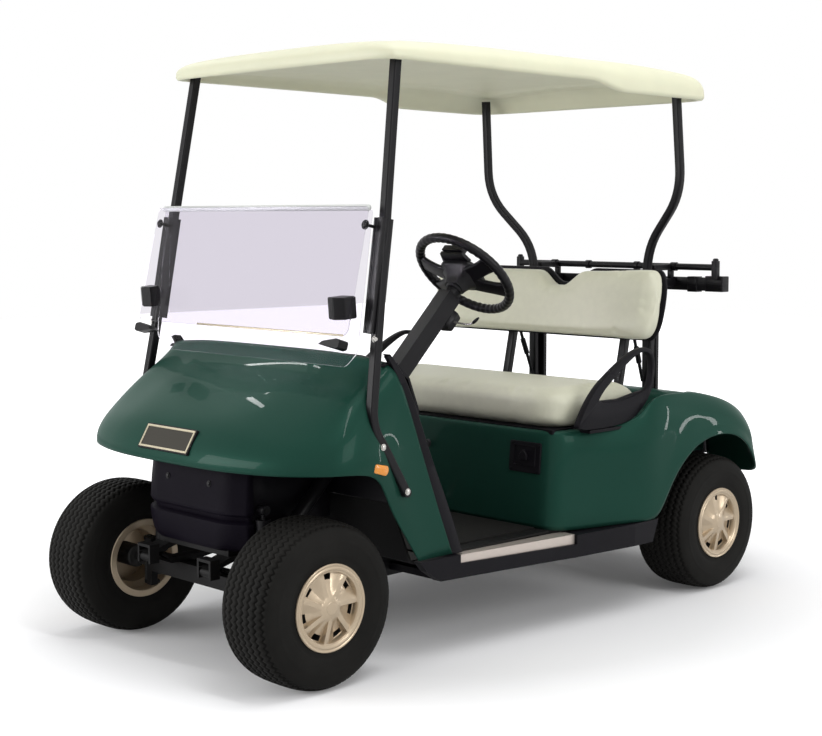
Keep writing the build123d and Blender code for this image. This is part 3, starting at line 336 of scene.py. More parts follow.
# %% Tyres, champagne, alloys
grained("tyre_rubber", (0.0080, 0.0076, 0.0068), 0.68, 650.0, 0.0002, 0.22,
        Specular_IOR_Level=0.1)
grained("champagne_satin", (0.465, 0.372, 0.262), 0.30, 1400.0, 0.00003, 0.04,
        Metallic=0.55, Coat_Weight=0.25, Coat_Roughness=0.12)


def brushed(name, colour, roughness, along):
    """Metal brushed along one axis: noise stretched about eightyfold that way."""
    metal = Finish(name, colour, roughness, Metallic=0.75)
    stretch = tuple(0.012 if axis == along else 1.0 for axis in range(3))
    lines = metal.pattern("TexNoise", 1600.0, stretch, Detail=2.0).outputs[0]
    metal.tones(lines, (0.3, [c * 0.88 for c in colour]), (0.7, colour))
    metal.roughen(lines, roughness - 0.08, roughness + 0.1)
    metal.bump(lines, 0.00004)


brushed("sill_alloy", (0.585, 0.520, 0.470), 0.42, 1)
brushed("bright_steel", (0.620, 0.600, 0.570), 0.24, 0)
brushed("dark_bronze", (0.040, 0.036, 0.028), 0.38, 0)
grained("pale_gilt", (0.560, 0.500, 0.360), 0.34, 900.0, 0.00005, 0.06, Metallic=0.5)
grained("plate_white", (0.620, 0.640, 0.620), 0.40, 900.0, 0.00003, 0.03)

# %% [markdown]
# The windshield is 4 mm clear acrylic with a faint lilac cast. Real glass shaders block lamp
# light, so for shadow rays the sheet is a tinted transparency.

# %% Acrylic and amber
acrylic = Finish("clear_acrylic", (0.835, 0.812, 0.862), 0.0, IOR=1.14, Transmission_Weight=1.0)
acrylic.roughen(acrylic.pattern("TexNoise", 160.0, Detail=4.0).outputs[0], 0.0, 0.03)
acrylic.mixed(acrylic.add("LightPath").outputs["Is Shadow Ray"], acrylic.shader,
              acrylic.add("BsdfTransparent", Color=(0.86, 0.85, 0.89, 1)))
# The amber lens has a weak emission: a painted glow that stands in for light caught in the lens.
amber = Finish("amber_lens", (0.95, 0.33, 0.015), 0.18, Transmission_Weight=0.35,
               Coat_Weight=0.6, Emission_Color=(1.0, 0.35, 0.02, 1), Emission_Strength=0.12)
amber.bump(amber.pattern("TexNoise", 500.0, (1, 0.1, 1), Detail=0.0).outputs[0], 0.0004)
print("finishes:", len(finishes))

# %% [markdown]
# ## Surfaces from numbers
# A grid of points P[i, j] = (x, y, z) becomes quads between neighbours. All faces are
# worked out at once with index arrays, and foreach_set pours them into the mesh.

# %% Mesh helpers
MM = 0.001
X, Y, Z = (1, 0, 0), (0, 1, 0), (0, 0, 1)


class Patch:
    """One grid of points with its finish; flip turns its faces round."""

    def __init__(self, points, finish=0, wrap_rows=False, wrap_columns=False, flip=False):
        """Corner indices of a quad run right along a row and then up to the next row."""
        self.points, self.finish = np.asarray(points, float), finish
        rows, columns = self.points.shape[:2]
        i = np.arange(rows if wrap_rows else rows - 1)[:, None]
        j = np.arange(columns if wrap_columns else columns - 1)[None, :]
        up, right = (i + 1) % rows, (j + 1) % columns
        faces = np.stack([i * columns + j, i * columns + right, up * columns + right,
                          up * columns + j], axis=-1).reshape(-1, 4)
        self.faces = faces[:, ::-1] if flip else faces

    def mirrored(self):
        """The mirror image across the cart's middle, its faces turned round."""
        image = Patch(self.points * (-1, 1, 1), self.finish)
        image.faces = self.faces[:, ::-1]
        return image


def both_sides(patches):
    """The patches and their mirror images."""
    return patches + [patch.mirrored() for patch in patches]


def reworked(mesh, steps):
    """Run bmesh operations on a mesh: steps is a function of the opened bmesh."""
    work = bmesh.new()
    work.from_mesh(mesh)
    steps(work)
    work.to_mesh(mesh)
    work.free()


def weld_seams(mesh, distance):
    """Merge points closer than distance and drop the faces that vanish with them."""
    def steps(work):
        """Merge, then drop."""
        bmesh.ops.remove_doubles(work, verts=work.verts, dist=distance)
        bmesh.ops.dissolve_degenerate(work, edges=work.edges, dist=distance * 0.1)
    reworked(mesh, steps)


def build(name, patches, materials, body, stands_for=None, weld=0.0, flat=False, closed=False,
          crisp=None, sheet=None):
    """Join patches into one object that rides on body. Points closer than weld merge; a
    closed piece gets its faces turned outwards; edges steeper than crisp degrees stay sharp;
    sheet is the thickness that a one-sided skin gets inwards."""
    starts = np.cumsum([0] + [p.points[..., 0].size for p in patches])
    points = np.concatenate([p.points.reshape(-1, 3) for p in patches])
    faces = np.concatenate([p.faces + s for p, s in zip(patches, starts)])
    finish = np.concatenate([np.broadcast_to(np.ravel(p.finish), len(p.faces))
                             for p in patches])
    mesh = bpy.data.meshes.new(name)
    mesh.vertices.add(len(points))
    mesh.vertices.foreach_set("co", points.ravel())
    mesh.loops.add(faces.size)
    mesh.loops.foreach_set("vertex_index", faces.ravel().astype(np.int32))
    mesh.polygons.add(len(faces))
    mesh.polygons.foreach_set("loop_start", np.arange(0, faces.size, 4, dtype=np.int32))
    mesh.polygons.foreach_set("material_index", finish.astype(np.int32))
    mesh.update(calc_edges=True)
    mesh.validate()
    for material in materials:
        mesh.materials.append(finishes[material])
    if weld:
        weld_seams(mesh, weld)
    mesh.polygons.foreach_set("use_smooth", np.full(len(mesh.polygons), not flat))
    item = bpy.data.objects.new(name, mesh)
    scene.collection.objects.link(item)
    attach(item, body)
    if stands_for:
        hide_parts(stands_for)
    if closed:
        reworked(mesh, lambda work: bmesh.ops.recalc_face_normals(work, faces=work.faces))
    if crisp:
        mesh.set_sharp_from_angle(angle=math.radians(crisp))
    if sheet:
        wall = item.modifiers.new("sheet", "SOLIDIFY")
        wall.thickness = sheet
        wall.offset = -1.0
        wall.use_even_offset = False
    return item


# %% [markdown]
# Body panels are B-spline surfaces: a small net of control points pulls a smooth skin
# towards itself. A B-spline never ripples between its points, which matters for paint,
# where every ripple would bend a reflection. The basis is worked out for all samples at once
# by the Cox-de Boor rule.

# %% B-spline skins
def share_of(value, low, high):
    """How far value is from low to high, or 0 where the two are equal."""
    return np.where(high > low, (value - low) / np.where(high > low, high - low, 1), 0)


def bspline_basis(count, samples, degree=3):
    """Matrix (samples x count) of clamped uniform B-spline weights. Each degree blends two
    neighbours of the one before: one that rises along its knots and one that falls."""
    t = np.linspace(0, 1, samples)
    knots = np.concatenate([np.zeros(degree), np.linspace(0, 1, count - degree + 1),
                            np.ones(degree)])
    weights = ((t[:, None] >= knots[:-1]) & (t[:, None] < knots[1:])).astype(float)
    weights[t >= 1.0, count - 1] = 1.0
    for d in range(1, degree + 1):
        rise = share_of(t[:, None], knots[:-d - 1], knots[d:-1])
        fall = share_of(-t[:, None], -knots[d + 1:], -knots[1:-d])
        weights = rise * weights[:, :-1] + fall * weights[:, 1:]
    return weights[:, :count]


def skin(net, rows, columns):
    """B-spline surface pulled by a control net (R, C, 3), sampled rows x columns."""
    return np.einsum("ri,ijk,cj->rck", bspline_basis(net.shape[0], rows), net,
                     bspline_basis(net.shape[1], columns))


def curve(points, samples, degree=3):
    """B-spline curve near control points (N, d)."""
    points = np.asarray(points, float)
    return bspline_basis(len(points), samples, min(degree, len(points) - 1)) @ points


def smooth(value, low, high):
    """0 below low, 1 above high, an S curve between."""
    t = np.clip((value - low) / (high - low), 0, 1)
    return t * t * (3 - 2 * t)


# %% [markdown]
# Bars, bolts and plates are sections carried along a path, turned about an axis or pushed
# out of a plane. Closed ends shrink to one point, so no hole is left.

# %% Bars, bolts and plates
def rounded_path(points, radius, steps=6):
    """Straight runs joined by arcs: each inner corner becomes a quadratic arc whose ends lie
    radius away from it, or at 0.45 of the shorter run."""
    points = np.asarray(points, float)
    here = points[1:-1]
    into, out = points[:-2] - here, points[2:] - here
    shorter = np.minimum(np.linalg.norm(into, axis=1), np.linalg.norm(out, axis=1))
    reach = np.minimum(shorter * 0.45, radius)[:, None]
    start, end = here + unit(into) * reach, here + unit(out) * reach
    t = np.linspace(0, 1, steps)[None, :, None]
    arcs = ((1 - t) ** 2 * start[:, None] + 2 * t * (1 - t) * here[:, None]
            + t ** 2 * end[:, None])
    return np.concatenate([points[:1], arcs.reshape(-1, points.shape[1]), points[-1:]])


def outline_of(points, radius, steps=4):
    """A closed outline with rounded corners. Its points start and end at the same corner,
    which stays sharp."""
    return rounded_path(points, radius, steps)[:-1]


def circle(radius, count=16):
    """Closed round section (count, 2)."""
    a = np.linspace(0, 2 * np.pi, count, endpoint=False)
    return np.column_stack([radius * np.cos(a), radius * np.sin(a)])


def rounded_rectangle(width, depth, radius, steps=4):
    """Closed section (4 * steps, 2) with round corners, counter-clockwise."""
    a = np.linspace(0, np.pi / 2, steps)
    arc = np.column_stack([np.cos(a), np.sin(a)]) * radius
    w, d = width / 2 - radius, depth / 2 - radius
    turns = [(1, 0), (0, 1), (-1, 0), (0, -1)]
    shifts = [(w, d), (-w, d), (-w, -d), (w, -d)]
    return np.concatenate([arc @ np.array([[c, s], [-s, c]]) + shift
                           for (c, s), shift in zip(turns, shifts)])


def along(path, section, side=X, scale=1.0):
    """Carry a closed section along a path. At each point the section's first axis is side,
    made square to the path, and its second axis completes the frame; scale, one value or
    (N,) or (N, 2), grows it. Caps close the ends towards their middles."""
    path, section = np.asarray(path, float), np.asarray(section, float)
    step = unit(np.gradient(path, axis=0))
    side = np.broadcast_to(np.asarray(side, float), path.shape)
    first = unit(side - (side * step).sum(1)[:, None] * step)
    second = np.cross(step, first)
    scale = np.reshape(scale, (len(path) if np.ndim(scale) else 1, -1))
    grow = np.broadcast_to(scale, (len(path), 2))[:, None]
    rings = (path[:, None] + first[:, None] * (section[:, :1] * grow[..., :1])
             + second[:, None] * (section[:, 1:] * grow[..., 1:]))
    return capped(rings, path[0], path[-1])


def capped(rings, first, last):
    """Rings closed at both ends by a ring shrunk to one point."""
    ends = [np.broadcast_to(point, rings[:1].shape) for point in (first, last)]
    return np.concatenate([ends[0], rings, ends[1]])


def tube(path, section, finish=0, side=X, scale=1.0):
    """A closed bar as a Patch: section carried along path."""
    return Patch(along(path, section, side, scale), finish, wrap_columns=True)


def rod(start, end, radius, count, side=X):
    """A straight round bar between two points."""
    return tube([start, end], circle(radius, count), side=side)


def turned(profile, centre, axis, steps=48, finish=0):
    """Turn a profile of (height along axis, radius) points about an axis through centre."""
    profile, axis = np.asarray(profile, float), unit(axis)
    first = unit(np.cross(axis, Z if abs(axis[2]) < 0.9 else X))
    second = np.cross(axis, first)
    a = np.linspace(0, 2 * np.pi, steps, endpoint=False)[None, :, None]
    ring = np.cos(a) * first + np.sin(a) * second
    points = centre + profile[:, None, 0:1] * axis + profile[:, None, 1:2] * ring
    return Patch(points, finish, wrap_columns=True)


def bolt(place, axis, radius, height, finish=0):
    """A low domed bolt head with a washer, standing at place along axis."""
    r, h = radius, height
    profile = [(0, 0), (0, 1.5 * r), (0.12 * h, 1.55 * r), (0.3 * h, 1.5 * r), (0.3 * h, r),
               (0.75 * h, r), (0.95 * h, 0.82 * r), (h, 0.5 * r), (h, 0)]
    return turned(profile, place, axis, 18, finish)


def plate(outline, place, right, up, thick, finish=0, edge=0.001):
    """A flat plate with eased edges. The outline (N, 2) lies along right and up at place, runs
    anticlockwise, and the plate grows by thick along right x up."""
    outline, right, up = np.asarray(outline, float), unit(right), unit(up)
    middle = outline.mean(0)
    inset = outline + unit(middle - outline) * edge
    point = middle + outline * 0
    rings = [(point, 0), (inset, 0), (outline, edge), (outline, thick - edge), (inset, thick),
             (point, thick)]
    points = np.array([place + shape[:, :1] * right + shape[:, 1:] * up
                       + height * np.cross(right, up) for shape, height in rings])
    return Patch(points, finish, wrap_columns=True)


def frame_ring(half_width, half_height, middle, up, out, profile, finish=0):
    """A rectangular ring in a panel, from its profile of (growth outwards, height) pairs."""
    corners = np.array([(-1, -1), (1, -1), (1, 1), (-1, 1)])
    rings = [middle + corners[:, :1] * (half_width + grow) * np.array(X)
             + corners[:, 1:] * (half_height + grow) * up + out * height
             for grow, height in profile]
    return Patch(rings, finish, wrap_columns=True)


def stacked(outline, layers, middle=(0.0, 0.0)):
    """An outline grown about its middle and lifted: one ring for each (growth, height)."""
    return np.array([np.column_stack([middle + (outline - middle) * grow,
                                      np.full(len(outline), height)])
                     for grow, height in layers])


def box_piece(low, high, radius=0.003):
    """An upright box with rounded corners in plan."""
    low, high = np.asarray(low, float), np.asarray(high, float)
    size, middle = high - low, (low + high) / 2
    outline = rounded_rectangle(size[0], size[1], min(radius, 0.49 * size[:2].min()), 5)
    return plate(outline, (middle[0], middle[1], low[2]), X, Y, size[2],
                 edge=min(0.0015, 0.3 * size[2]))


print("helpers ready")

# %% [markdown]
# ## The cowl
# The cowl's control net is a row of hoops, each running from the middle of the nose over
# the fender to the foot of the side panel. The first hoop is the lower lip of the nose, the
# last one the trim edge under the windshield. Millimetres, driver's side only.

# %% Cowl hoops
cowl_hoops = [
    # lip: middle, badge edge, crease in and out, face, outer face, corner, side, arch, foot
    [(0, -1117, 577), (130, -1117, 577), (230, -1108, 577), (300, -1094, 577),
     (400, -1068, 578), (480, -1030, 580), (545, -960, 580), (556, -880, 578),
     (544, -800, 560), (524, -750, 462), (518, -690, 385), (516, -632, 301)],
    [(0, -1120, 600), (130, -1119, 600), (232, -1110, 601), (302, -1096, 602),
     (402, -1070, 604), (484, -1030, 606), (547, -958, 604), (557, -872, 600),
     (545, -785, 578), (526, -735, 480), (518, -676, 392), (516, -616, 301)],
    [(0, -1092, 655), (130, -1090, 655), (230, -1083, 652), (300, -1072, 648),
     (400, -1046, 645), (480, -1008, 645), (542, -942, 650), (553, -852, 640),
     (540, -768, 606), (524, -716, 500), (517, -658, 400), (515, -600, 301)],
    # knee between the nose and the hood
    [(0, -1048, 697), (130, -1047, 697), (220, -1042, 692), (290, -1034, 684),
     (385, -1012, 676), (460, -978, 676), (528, -922, 690), (544, -836, 676),
     (532, -752, 636), (520, -696, 520), (516, -640, 408), (514, -582, 301)],
    [(0, -950, 752), (130, -950, 752), (228, -950, 748), (292, -948, 740),
     (385, -940, 728), (462, -925, 722), (520, -890, 722), (534, -808, 704),
     (526, -730, 650), (517, -672, 535), (514, -616, 415), (514, -560, 301)],
    [(0, -850, 806), (135, -850, 806), (245, -850, 803), (300, -850, 797),
     (385, -850, 788), (455, -850, 782), (505, -840, 770), (523, -775, 746),
     (521, -706, 672), (515, -646, 552), (514, -592, 424), (514, -536, 301)],
    # flip: the hood turns up to the windshield
    [(0, -784, 843), (140, -784, 843), (265, -784, 841), (310, -784, 836),
     (385, -784, 828), (450, -784, 822), (496, -780, 812), (517, -742, 786),
     (517, -685, 700), (514, -624, 566), (514, -574, 430), (514, -522, 301)],
    [(0, -742, 878), (150, -742, 878), (280, -742, 877), (330, -742, 875),
     (395, -742, 871), (455, -740, 866), (498, -728, 856), (514, -704, 822),
     (514, -664, 722), (514, -603, 560), (514, -554, 432), (514, -500, 301)],
]
PANEL = 0.005                 # moulded sheet
SEAM = 1e-5                   # points closer than this are one point

cowl_left = skin(np.array(cowl_hoops) * MM, 72, 110)
cowl = build("cowl_panel", both_sides([Patch(cowl_left, flip=True)]), ["green_metallic"],
             "cart", "cowl", weld=SEAM, sheet=PANEL)
print("cowl faces:", len(cowl.data.polygons))

# %% [markdown]
# ## The rear body
# One skin runs from the middle of the seat skirt, round its corner, along the side, over the
# rear wheel arch and round the tail. Four rails carry it, each with the same stations: the
# lower edge, the waist, the shoulder and the inner edge of the deck.

# %% Rear body rails
lower_rail = [
    (0, -60, 301), (300, -60, 301), (400, -60, 301), (486, -59, 300), (518, -4, 295),
    (532, 90, 293), (560, 200, 293), (584, 290, 293), (590, 350, 292), (590, 388, 325),
    (590, 436, 400), (590, 495, 462), (590, 575, 514), (590, 665, 534), (590, 750, 533),
    (590, 825, 514), (583, 890, 470), (566, 955, 405), (534, 1006, 366), (470, 1030, 358),
    (380, 1038, 358), (304, 1040, 358)]
waist_rail = [
    (0, -42, 520), (300, -42, 520), (400, -42, 520), (484, -41, 520), (516, 14, 520),
    (531, 96, 520), (562, 200, 520), (584, 285, 524), (589, 335, 534), (588, 378, 556),
    (585, 430, 578), (582, 495, 590), (581, 575, 598), (581, 665, 598), (581, 750, 590),
    (580, 820, 574), (574, 884, 546), (556, 946, 505), (516, 992, 488), (440, 1012, 480),
    (350, 1020, 478), (304, 1022, 478)]
shoulder_rail = [
    (0, -35, 598), (300, -35, 598), (396, -35, 598), (478, -33, 598), (508, 26, 598),
    (519, 96, 600), (541, 184, 604), (560, 260, 613), (568, 306, 634), (573, 342, 680),
    (573, 398, 697), (566, 480, 692), (554, 570, 682), (548, 660, 667), (546, 748, 648),
    (542, 822, 626), (534, 884, 600), (516, 934, 576), (478, 962, 562), (408, 972, 558),
    (340, 976, 556), (304, 977, 556)]
deck_rail = [
    (0, -6, 592), (300, -6, 592), (380, -6, 592), (430, 4, 592), (450, 40, 592),
    (464, 92, 594), (482, 170, 597), (520, 246, 600), (550, 300, 604), (562, 346, 606),
    (562, 430, 606), (560, 512, 606), (545, 532, 684), (512, 640, 674), (502, 748, 652),
    (492, 812, 632), (474, 856, 614), (446, 882, 602), (400, 896, 594), (360, 902, 590),
    (330, 906, 587), (304, 910, 584)]
WELL_HALF, WELL_FRONT, WELL_LOW = 0.304, 0.724, 0.420
BAY_HALF, BAY_REAR = 0.282, 0.43           # the battery bay is open under the seat
DECK_FRONT, DECK_REAR, DECK_CROWN = -0.004, 0.90, 0.006
CROWN_FRONT = 0.53                         # the deck is flat ahead of this


def between(a, b, share, out=0.0):
    """A rail part of the way from a to b, pushed out sideways by out millimetres."""
    a, b = np.array(a, float), np.array(b, float)
    return a + (b - a) * share + np.where(a[:, :1] > 500, out, 0.0) * np.array(X)


body_net = np.array([
    lower_rail, between(lower_rail, waist_rail, 0.18, 1.0),
    between(lower_rail, waist_rail, 0.5, -3.0), waist_rail,
    between(waist_rail, shoulder_rail, 0.55, 5.0), shoulder_rail,
    between(shoulder_rail, deck_rail, 0.22), between(shoulder_rail, deck_rail, 0.6),
    deck_rail]) * MM
body_left = skin(body_net, 56, 190)
deck_edge = body_left[-1]


def deck_at(y):
    """Half width and height of the deck's edge at stations y."""
    order = np.argsort(deck_edge[:, 1])
    return (np.interp(y, deck_edge[order, 1], deck_edge[order, 0]),
            np.interp(y, deck_edge[order, 1], deck_edge[order, 2]))


def deck_strip(y, inner=None):
    """The deck between x = inner and the skin's edge, or right across with a low crown."""
    y = np.asarray(y, float)
    half, z = deck_at(y)
    u = np.linspace(0, 1, 13)[None, :]
    start = -half if inner is None else np.full(len(y), inner)
    x = start[:, None] + (half - start)[:, None] * u
    crowned = (1 - (x / half[:, None]) ** 2) * (y > CROWN_FRONT)[:, None]
    return Patch(np.stack([x, np.broadcast_to(y[:, None], x.shape),
                           z[:, None] + DECK_CROWN * crowned], axis=-1))


def well_walls():
    """Walls that drop from the deck into the bag well: two sides and the front."""
    rear = deck_edge[-1, 1]
    path = np.array([(WELL_HALF, rear + 0.10), (WELL_HALF, rear), (WELL_HALF, 0.80),
                     (WELL_HALF, WELL_FRONT), (0.0, WELL_FRONT), (-WELL_HALF, WELL_FRONT),
                     (-WELL_HALF, 0.80), (-WELL_HALF, rear), (-WELL_HALF, rear + 0.10)])
    top = deck_at(path[:, 1])[1] + 0.004
    top[[0, -1]] = 0.50
    height = top + (WELL_LOW - top) * np.linspace(0, 1, 8)[:, None]
    return Patch(np.stack([np.broadcast_to(path[:, 0], height.shape),
                           np.broadcast_to(path[:, 1], height.shape), height], axis=-1))


cross_stations = np.concatenate([[BAY_REAR, 0.49], np.linspace(0.505, 0.54, 8),
                                 np.linspace(0.56, WELL_FRONT, 8)])
rear_body = build(
    "rear_body_panel",
    both_sides([Patch(body_left, flip=True),
                deck_strip(np.linspace(DECK_FRONT, BAY_REAR, 24), BAY_HALF),
                deck_strip(np.linspace(WELL_FRONT, DECK_REAR, 16), WELL_HALF)])
    + [deck_strip(cross_stations), well_walls()],
    ["green_metallic"], "cart", "rear_body", weld=SEAM, sheet=PANEL)
print("rear body faces:", len(rear_body.data.polygons))

# %% [markdown]
# ## The roof
# The roof is worked out by its distance from the edge: a half outline in plan, then rings
# that step inwards from it. The outer rings climb a superellipse from the lip to the crown,
# and the inner rings fold under the lip to the ceiling.

# %% Roof outline
ROOF_FRONT, ROOF_REAR = -0.745, 0.722
ROOF_HALF_FRONT, ROOF_HALF_REAR = 0.503, 0.535
ROOF_TOP, LIP_FRONT, LIP_REAR = 1.768, 1.683, 1.652
ROOF_ROLL = 0.10              # how far in from the edge the roll over reaches
ROOF_POWER = 2.5              # superellipse power of the roll over
PRESSED = 0.006               # how high the panel pressed into the top stands
FALL_FRONT, FALL_REAR, FALL_SIDE = 0.022, 0.020, 0.014      # the crown's fall to its edges


def roof_outline(samples):
    """Half outline (x, y) from the middle of the front edge to the middle of the rear."""
    corners = [(0, ROOF_FRONT), (0.30, ROOF_FRONT + 0.003), (0.490, ROOF_FRONT + 0.010),
               (0.512, ROOF_FRONT + 0.075), (ROOF_HALF_FRONT, -0.54), (0.505, 0.06),
               (0.512, 0.16), (ROOF_HALF_REAR, 0.30), (ROOF_HALF_REAR, 0.60),
               (0.530, 0.685), (0.470, 0.712), (0.28, ROOF_REAR), (0, ROOF_REAR)]
    return curve(corners, samples, 2)


def crown(x, y):
    """Height of the top away from its edges: flat in the middle, then falling by squares,
    with a panel pressed up inside it."""
    fore = np.clip((-0.12 - y) / 0.63, 0, 1)
    aft = np.clip((y - 0.26) / 0.47, 0, 1)
    fall = FALL_FRONT * fore ** 2 + FALL_REAR * aft ** 2 + FALL_SIDE * (x / 0.5) ** 2
    inside = 1 - smooth(np.abs(x), 0.37, 0.40)
    panel = inside * smooth(y, -0.60, -0.57) * (1 - smooth(y, 0.57, 0.60))
    return ROOF_TOP - PRESSED - fall + PRESSED * panel


def lip(y):
    """Height of the lower edge: it drops behind the doorway."""
    return LIP_FRONT + (LIP_REAR - LIP_FRONT) * smooth(y, 0.115, 0.275)


# %% [markdown]
# The spine that the rings shrink towards is a straight line along the cart, so ring points
# move inwards without crossing. The ceiling carries long shallow ribs beside the front edge
# and two that fan out from each front corner.

# %% Roof rings
CEILING_DROP = 0.034          # from the top's skin to the ceiling
CEILING_EDGE = 0.075          # where the ceiling ends, in from the edge
LIP_TOP = 0.010               # from the lower edge to where the roll over starts
RIB_DEPTH = 0.004
lip_steps = [                 # under the lip: in from the edge, above its lower edge
    (0.055, 0.030), (0.036, 0.016), (0.030, 0.004), (0.026, -0.001), (0.016, -0.003),
    (0.006, -0.002), (0.001, 0.004), (0.0, LIP_TOP)]


def ceiling_ribs(x, y):
    """Depth of the ribs pressed into the ceiling: bell curves across straight lines."""
    ribs = 0.0
    for place in (-0.60, -0.54):
        ribs = ribs + np.exp(-((y - place) / 0.009) ** 2) * (np.abs(x) < 0.40)
    for slope in (0.9, 2.2):
        across = (np.abs(x) - 0.42) * slope + (y + 0.60)
        ribs = ribs + np.exp(-(across / (0.012 * (1 + slope))) ** 2) * (y > -0.60) * (y < -0.05)
    return RIB_DEPTH * np.clip(ribs, 0, 1)


def roof_rings(outline):
    """Rings from the ceiling's middle, under the lip, up the side to the crown's middle."""
    spine = np.column_stack([np.zeros(len(outline)), np.clip(outline[:, 1], -0.42, 0.40)])
    reach = np.linalg.norm(spine - outline, axis=1)[:, None]
    inward = unit(spine - outline)

    def at(inset, height):
        """The outline moved inwards by inset, at a height that is a function of x and y."""
        place = outline + inward * inset
        return np.column_stack([place, height(place[:, 0], place[:, 1])])

    def ceiling(x, y):
        """The crown, one sheet and its stiffening lower, less the ribs."""
        return crown(x, y) - CEILING_DROP - ceiling_ribs(x, y)

    def rolled(x, y):
        """Between the lip and the crown by the share roll."""
        start = lip(y) + LIP_TOP
        return start + (crown(x, y) - start) * roll

    rings = [at(reach * (1 - share) + CEILING_EDGE * share, ceiling)
             for share in np.linspace(0, 1, 30)]
    rings += [at(inset, lambda x, y: lip(y) + rise) for inset, rise in lip_steps]
    for share in np.linspace(0.06, 1, 26) ** 1.4:
        roll = (1 - (1 - share) ** ROOF_POWER) ** (1 / ROOF_POWER)
        rings.append(at(share * ROOF_ROLL, rolled))
    rings += [at(ROOF_ROLL + (reach - ROOF_ROLL) * share, crown)
              for share in np.linspace(0, 1, 40)[1:]]
    return np.array(rings)


roof_left = roof_rings(roof_outline(150))
roof = build("roof_shell", both_sides([Patch(roof_left, flip=True)]), ["roof_stone"], "cart",
             "roof", weld=3e-4)
print("roof faces:", len(roof.data.polygons))

# %% [markdown]
# ## Cushions
# A cushion starts as a loaf: closed superellipse sections strung along X. Then cloth does
# the upholstery: the loaf is remeshed, a cloth under slight air pressure swells it from the
# inside, and how far any point may move is capped.

# %% Stuffed cushions
def loaf(x, front, rear, low, high, power):
    """Closed sections in YZ strung along x; front, rear, low, high are arrays per section."""
    a = np.linspace(0, 2 * np.pi, 64, endpoint=False)[None, :]
    bend = 2.0 / power
    c = np.sign(np.cos(a)) * np.abs(np.cos(a)) ** bend
    s = np.sign(np.sin(a)) * np.abs(np.sin(a)) ** bend
    y = ((front + rear) / 2)[:, None] + ((rear - front) / 2)[:, None] * c
    z = ((low + high) / 2)[:, None] + ((high - low) / 2)[:, None] * s
    return np.stack([np.broadcast_to(x[:, None], y.shape), y, z], axis=-1)


def end_columns(half, count):
    """Stations from -half to half by a sine, so they stand close together near both ends."""
    bow = np.sin(np.linspace(-1, 1, count) * np.pi / 2)
    return half * bow * (0.5 + 0.5 * np.abs(bow) ** 0.02)


def corner(x, half, radius, power):
    """How much of a superelliptic corner of that radius is left at x: 1 inside, 0 at half."""
    t = np.clip((np.abs(x) - (half - radius)) / radius, 0, 1)
    return (1 - t ** power) ** (1 / power)


def coordinates(mesh):
    """All vertices of a mesh as one array (N, 3)."""
    points = np.empty(len(mesh.vertices) * 3)
    mesh.vertices.foreach_get("co", points)
    return points.reshape(-1, 3)


def apply_modifiers(item):
    """Replace the mesh by its evaluated self and drop the modifiers."""
    seen = item.evaluated_get(bpy.context.evaluated_depsgraph_get())
    mesh = bpy.data.meshes.new_from_object(seen)
    item.modifiers.clear()
    item.data = mesh
    mesh.polygons.foreach_set("use_smooth", np.ones(len(mesh.polygons), bool))


def stuff(item, voxel, pressure, cap, steps=20):
    """Swell a closed cushion with cloth under pressure; no point moves more than cap."""
    remesh = item.modifiers.new("voxels", "REMESH")
    remesh.mode = "VOXEL"
    remesh.voxel_size = voxel
    remesh.use_smooth_shade = True
    apply_modifiers(item)
    start = coordinates(item.data)
    cloth = item.modifiers.new("cloth", "CLOTH")
    cloth.settings.quality = 5
    cloth.settings.mass = 0.4
    cloth.settings.use_pressure = True
    cloth.settings.uniform_pressure_force = pressure
    cloth.settings.tension_stiffness = 30
    cloth.settings.compression_stiffness = 30
    cloth.settings.bending_stiffness = 4
    cloth.settings.effector_weights.gravity = 0
    cloth.collision_settings.use_self_collision = False
    for step in range(1, steps + 1):
        scene.frame_set(step)
    apply_modifiers(item)
    scene.frame_set(1)
    moved = coordinates(item.data) - start
    size = np.linalg.norm(moved, axis=1)
    limit = np.minimum(size, cap) / np.maximum(size, 1e-9)
    item.data.vertices.foreach_set("co", (start + moved * limit[:, None]).ravel())
    item.data.update()
    print(item.name, "swelled by up to %.1f mm" % (1000 * min(size.max(), cap)))


def subdivided(item):
    """One level of Subdivision Surface, in the view and in the render."""
    finer = item.modifiers.new("smooth", "SUBSURF")
    finer.levels = finer.render_levels = 1


# %% [markdown]
# The seat is one wide pad with a soft waterfall front and rounded front corners. It is
# made a few millimetres small, because it swells.

# %% Seat cushion
seat_low, seat_high = (np.array(c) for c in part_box("seat_cushion"))
SWELL = 0.006                 # left free on each side, for the cloth to fill
END_ROUND, FRONT_ROUND = 0.050, 0.120      # reach of the round ends and front corners
FRONT_BACK, END_BACK = 0.085, 0.03         # how far these draw the front back
REAR_BACK = 0.02                           # how far the ends draw the rear in
SEAM_RISE = 0.0006                         # the pad's foot stays this far over its base


def seat_loaf():
    """A loaf whose front draws back and whose height shrinks towards both ends."""
    half = seat_high[0] - SWELL
    x = end_columns(half, 96)
    side = corner(x, half, END_ROUND, 2.4)
    front_corner = corner(x, half, FRONT_ROUND, 2.0)
    front = seat_low[1] + SWELL + FRONT_BACK * (1 - front_corner) + END_BACK * (1 - side)
    rear = seat_high[1] - SWELL - REAR_BACK * (1 - side)
    middle = (seat_low[2] + seat_high[2]) / 2
    low = middle - (middle - seat_low[2] - 0.001) * side
    high = middle + (seat_high[2] - SWELL - middle) * side
    return Patch(loaf(x, front, rear, low, high, 4.2), wrap_columns=True)


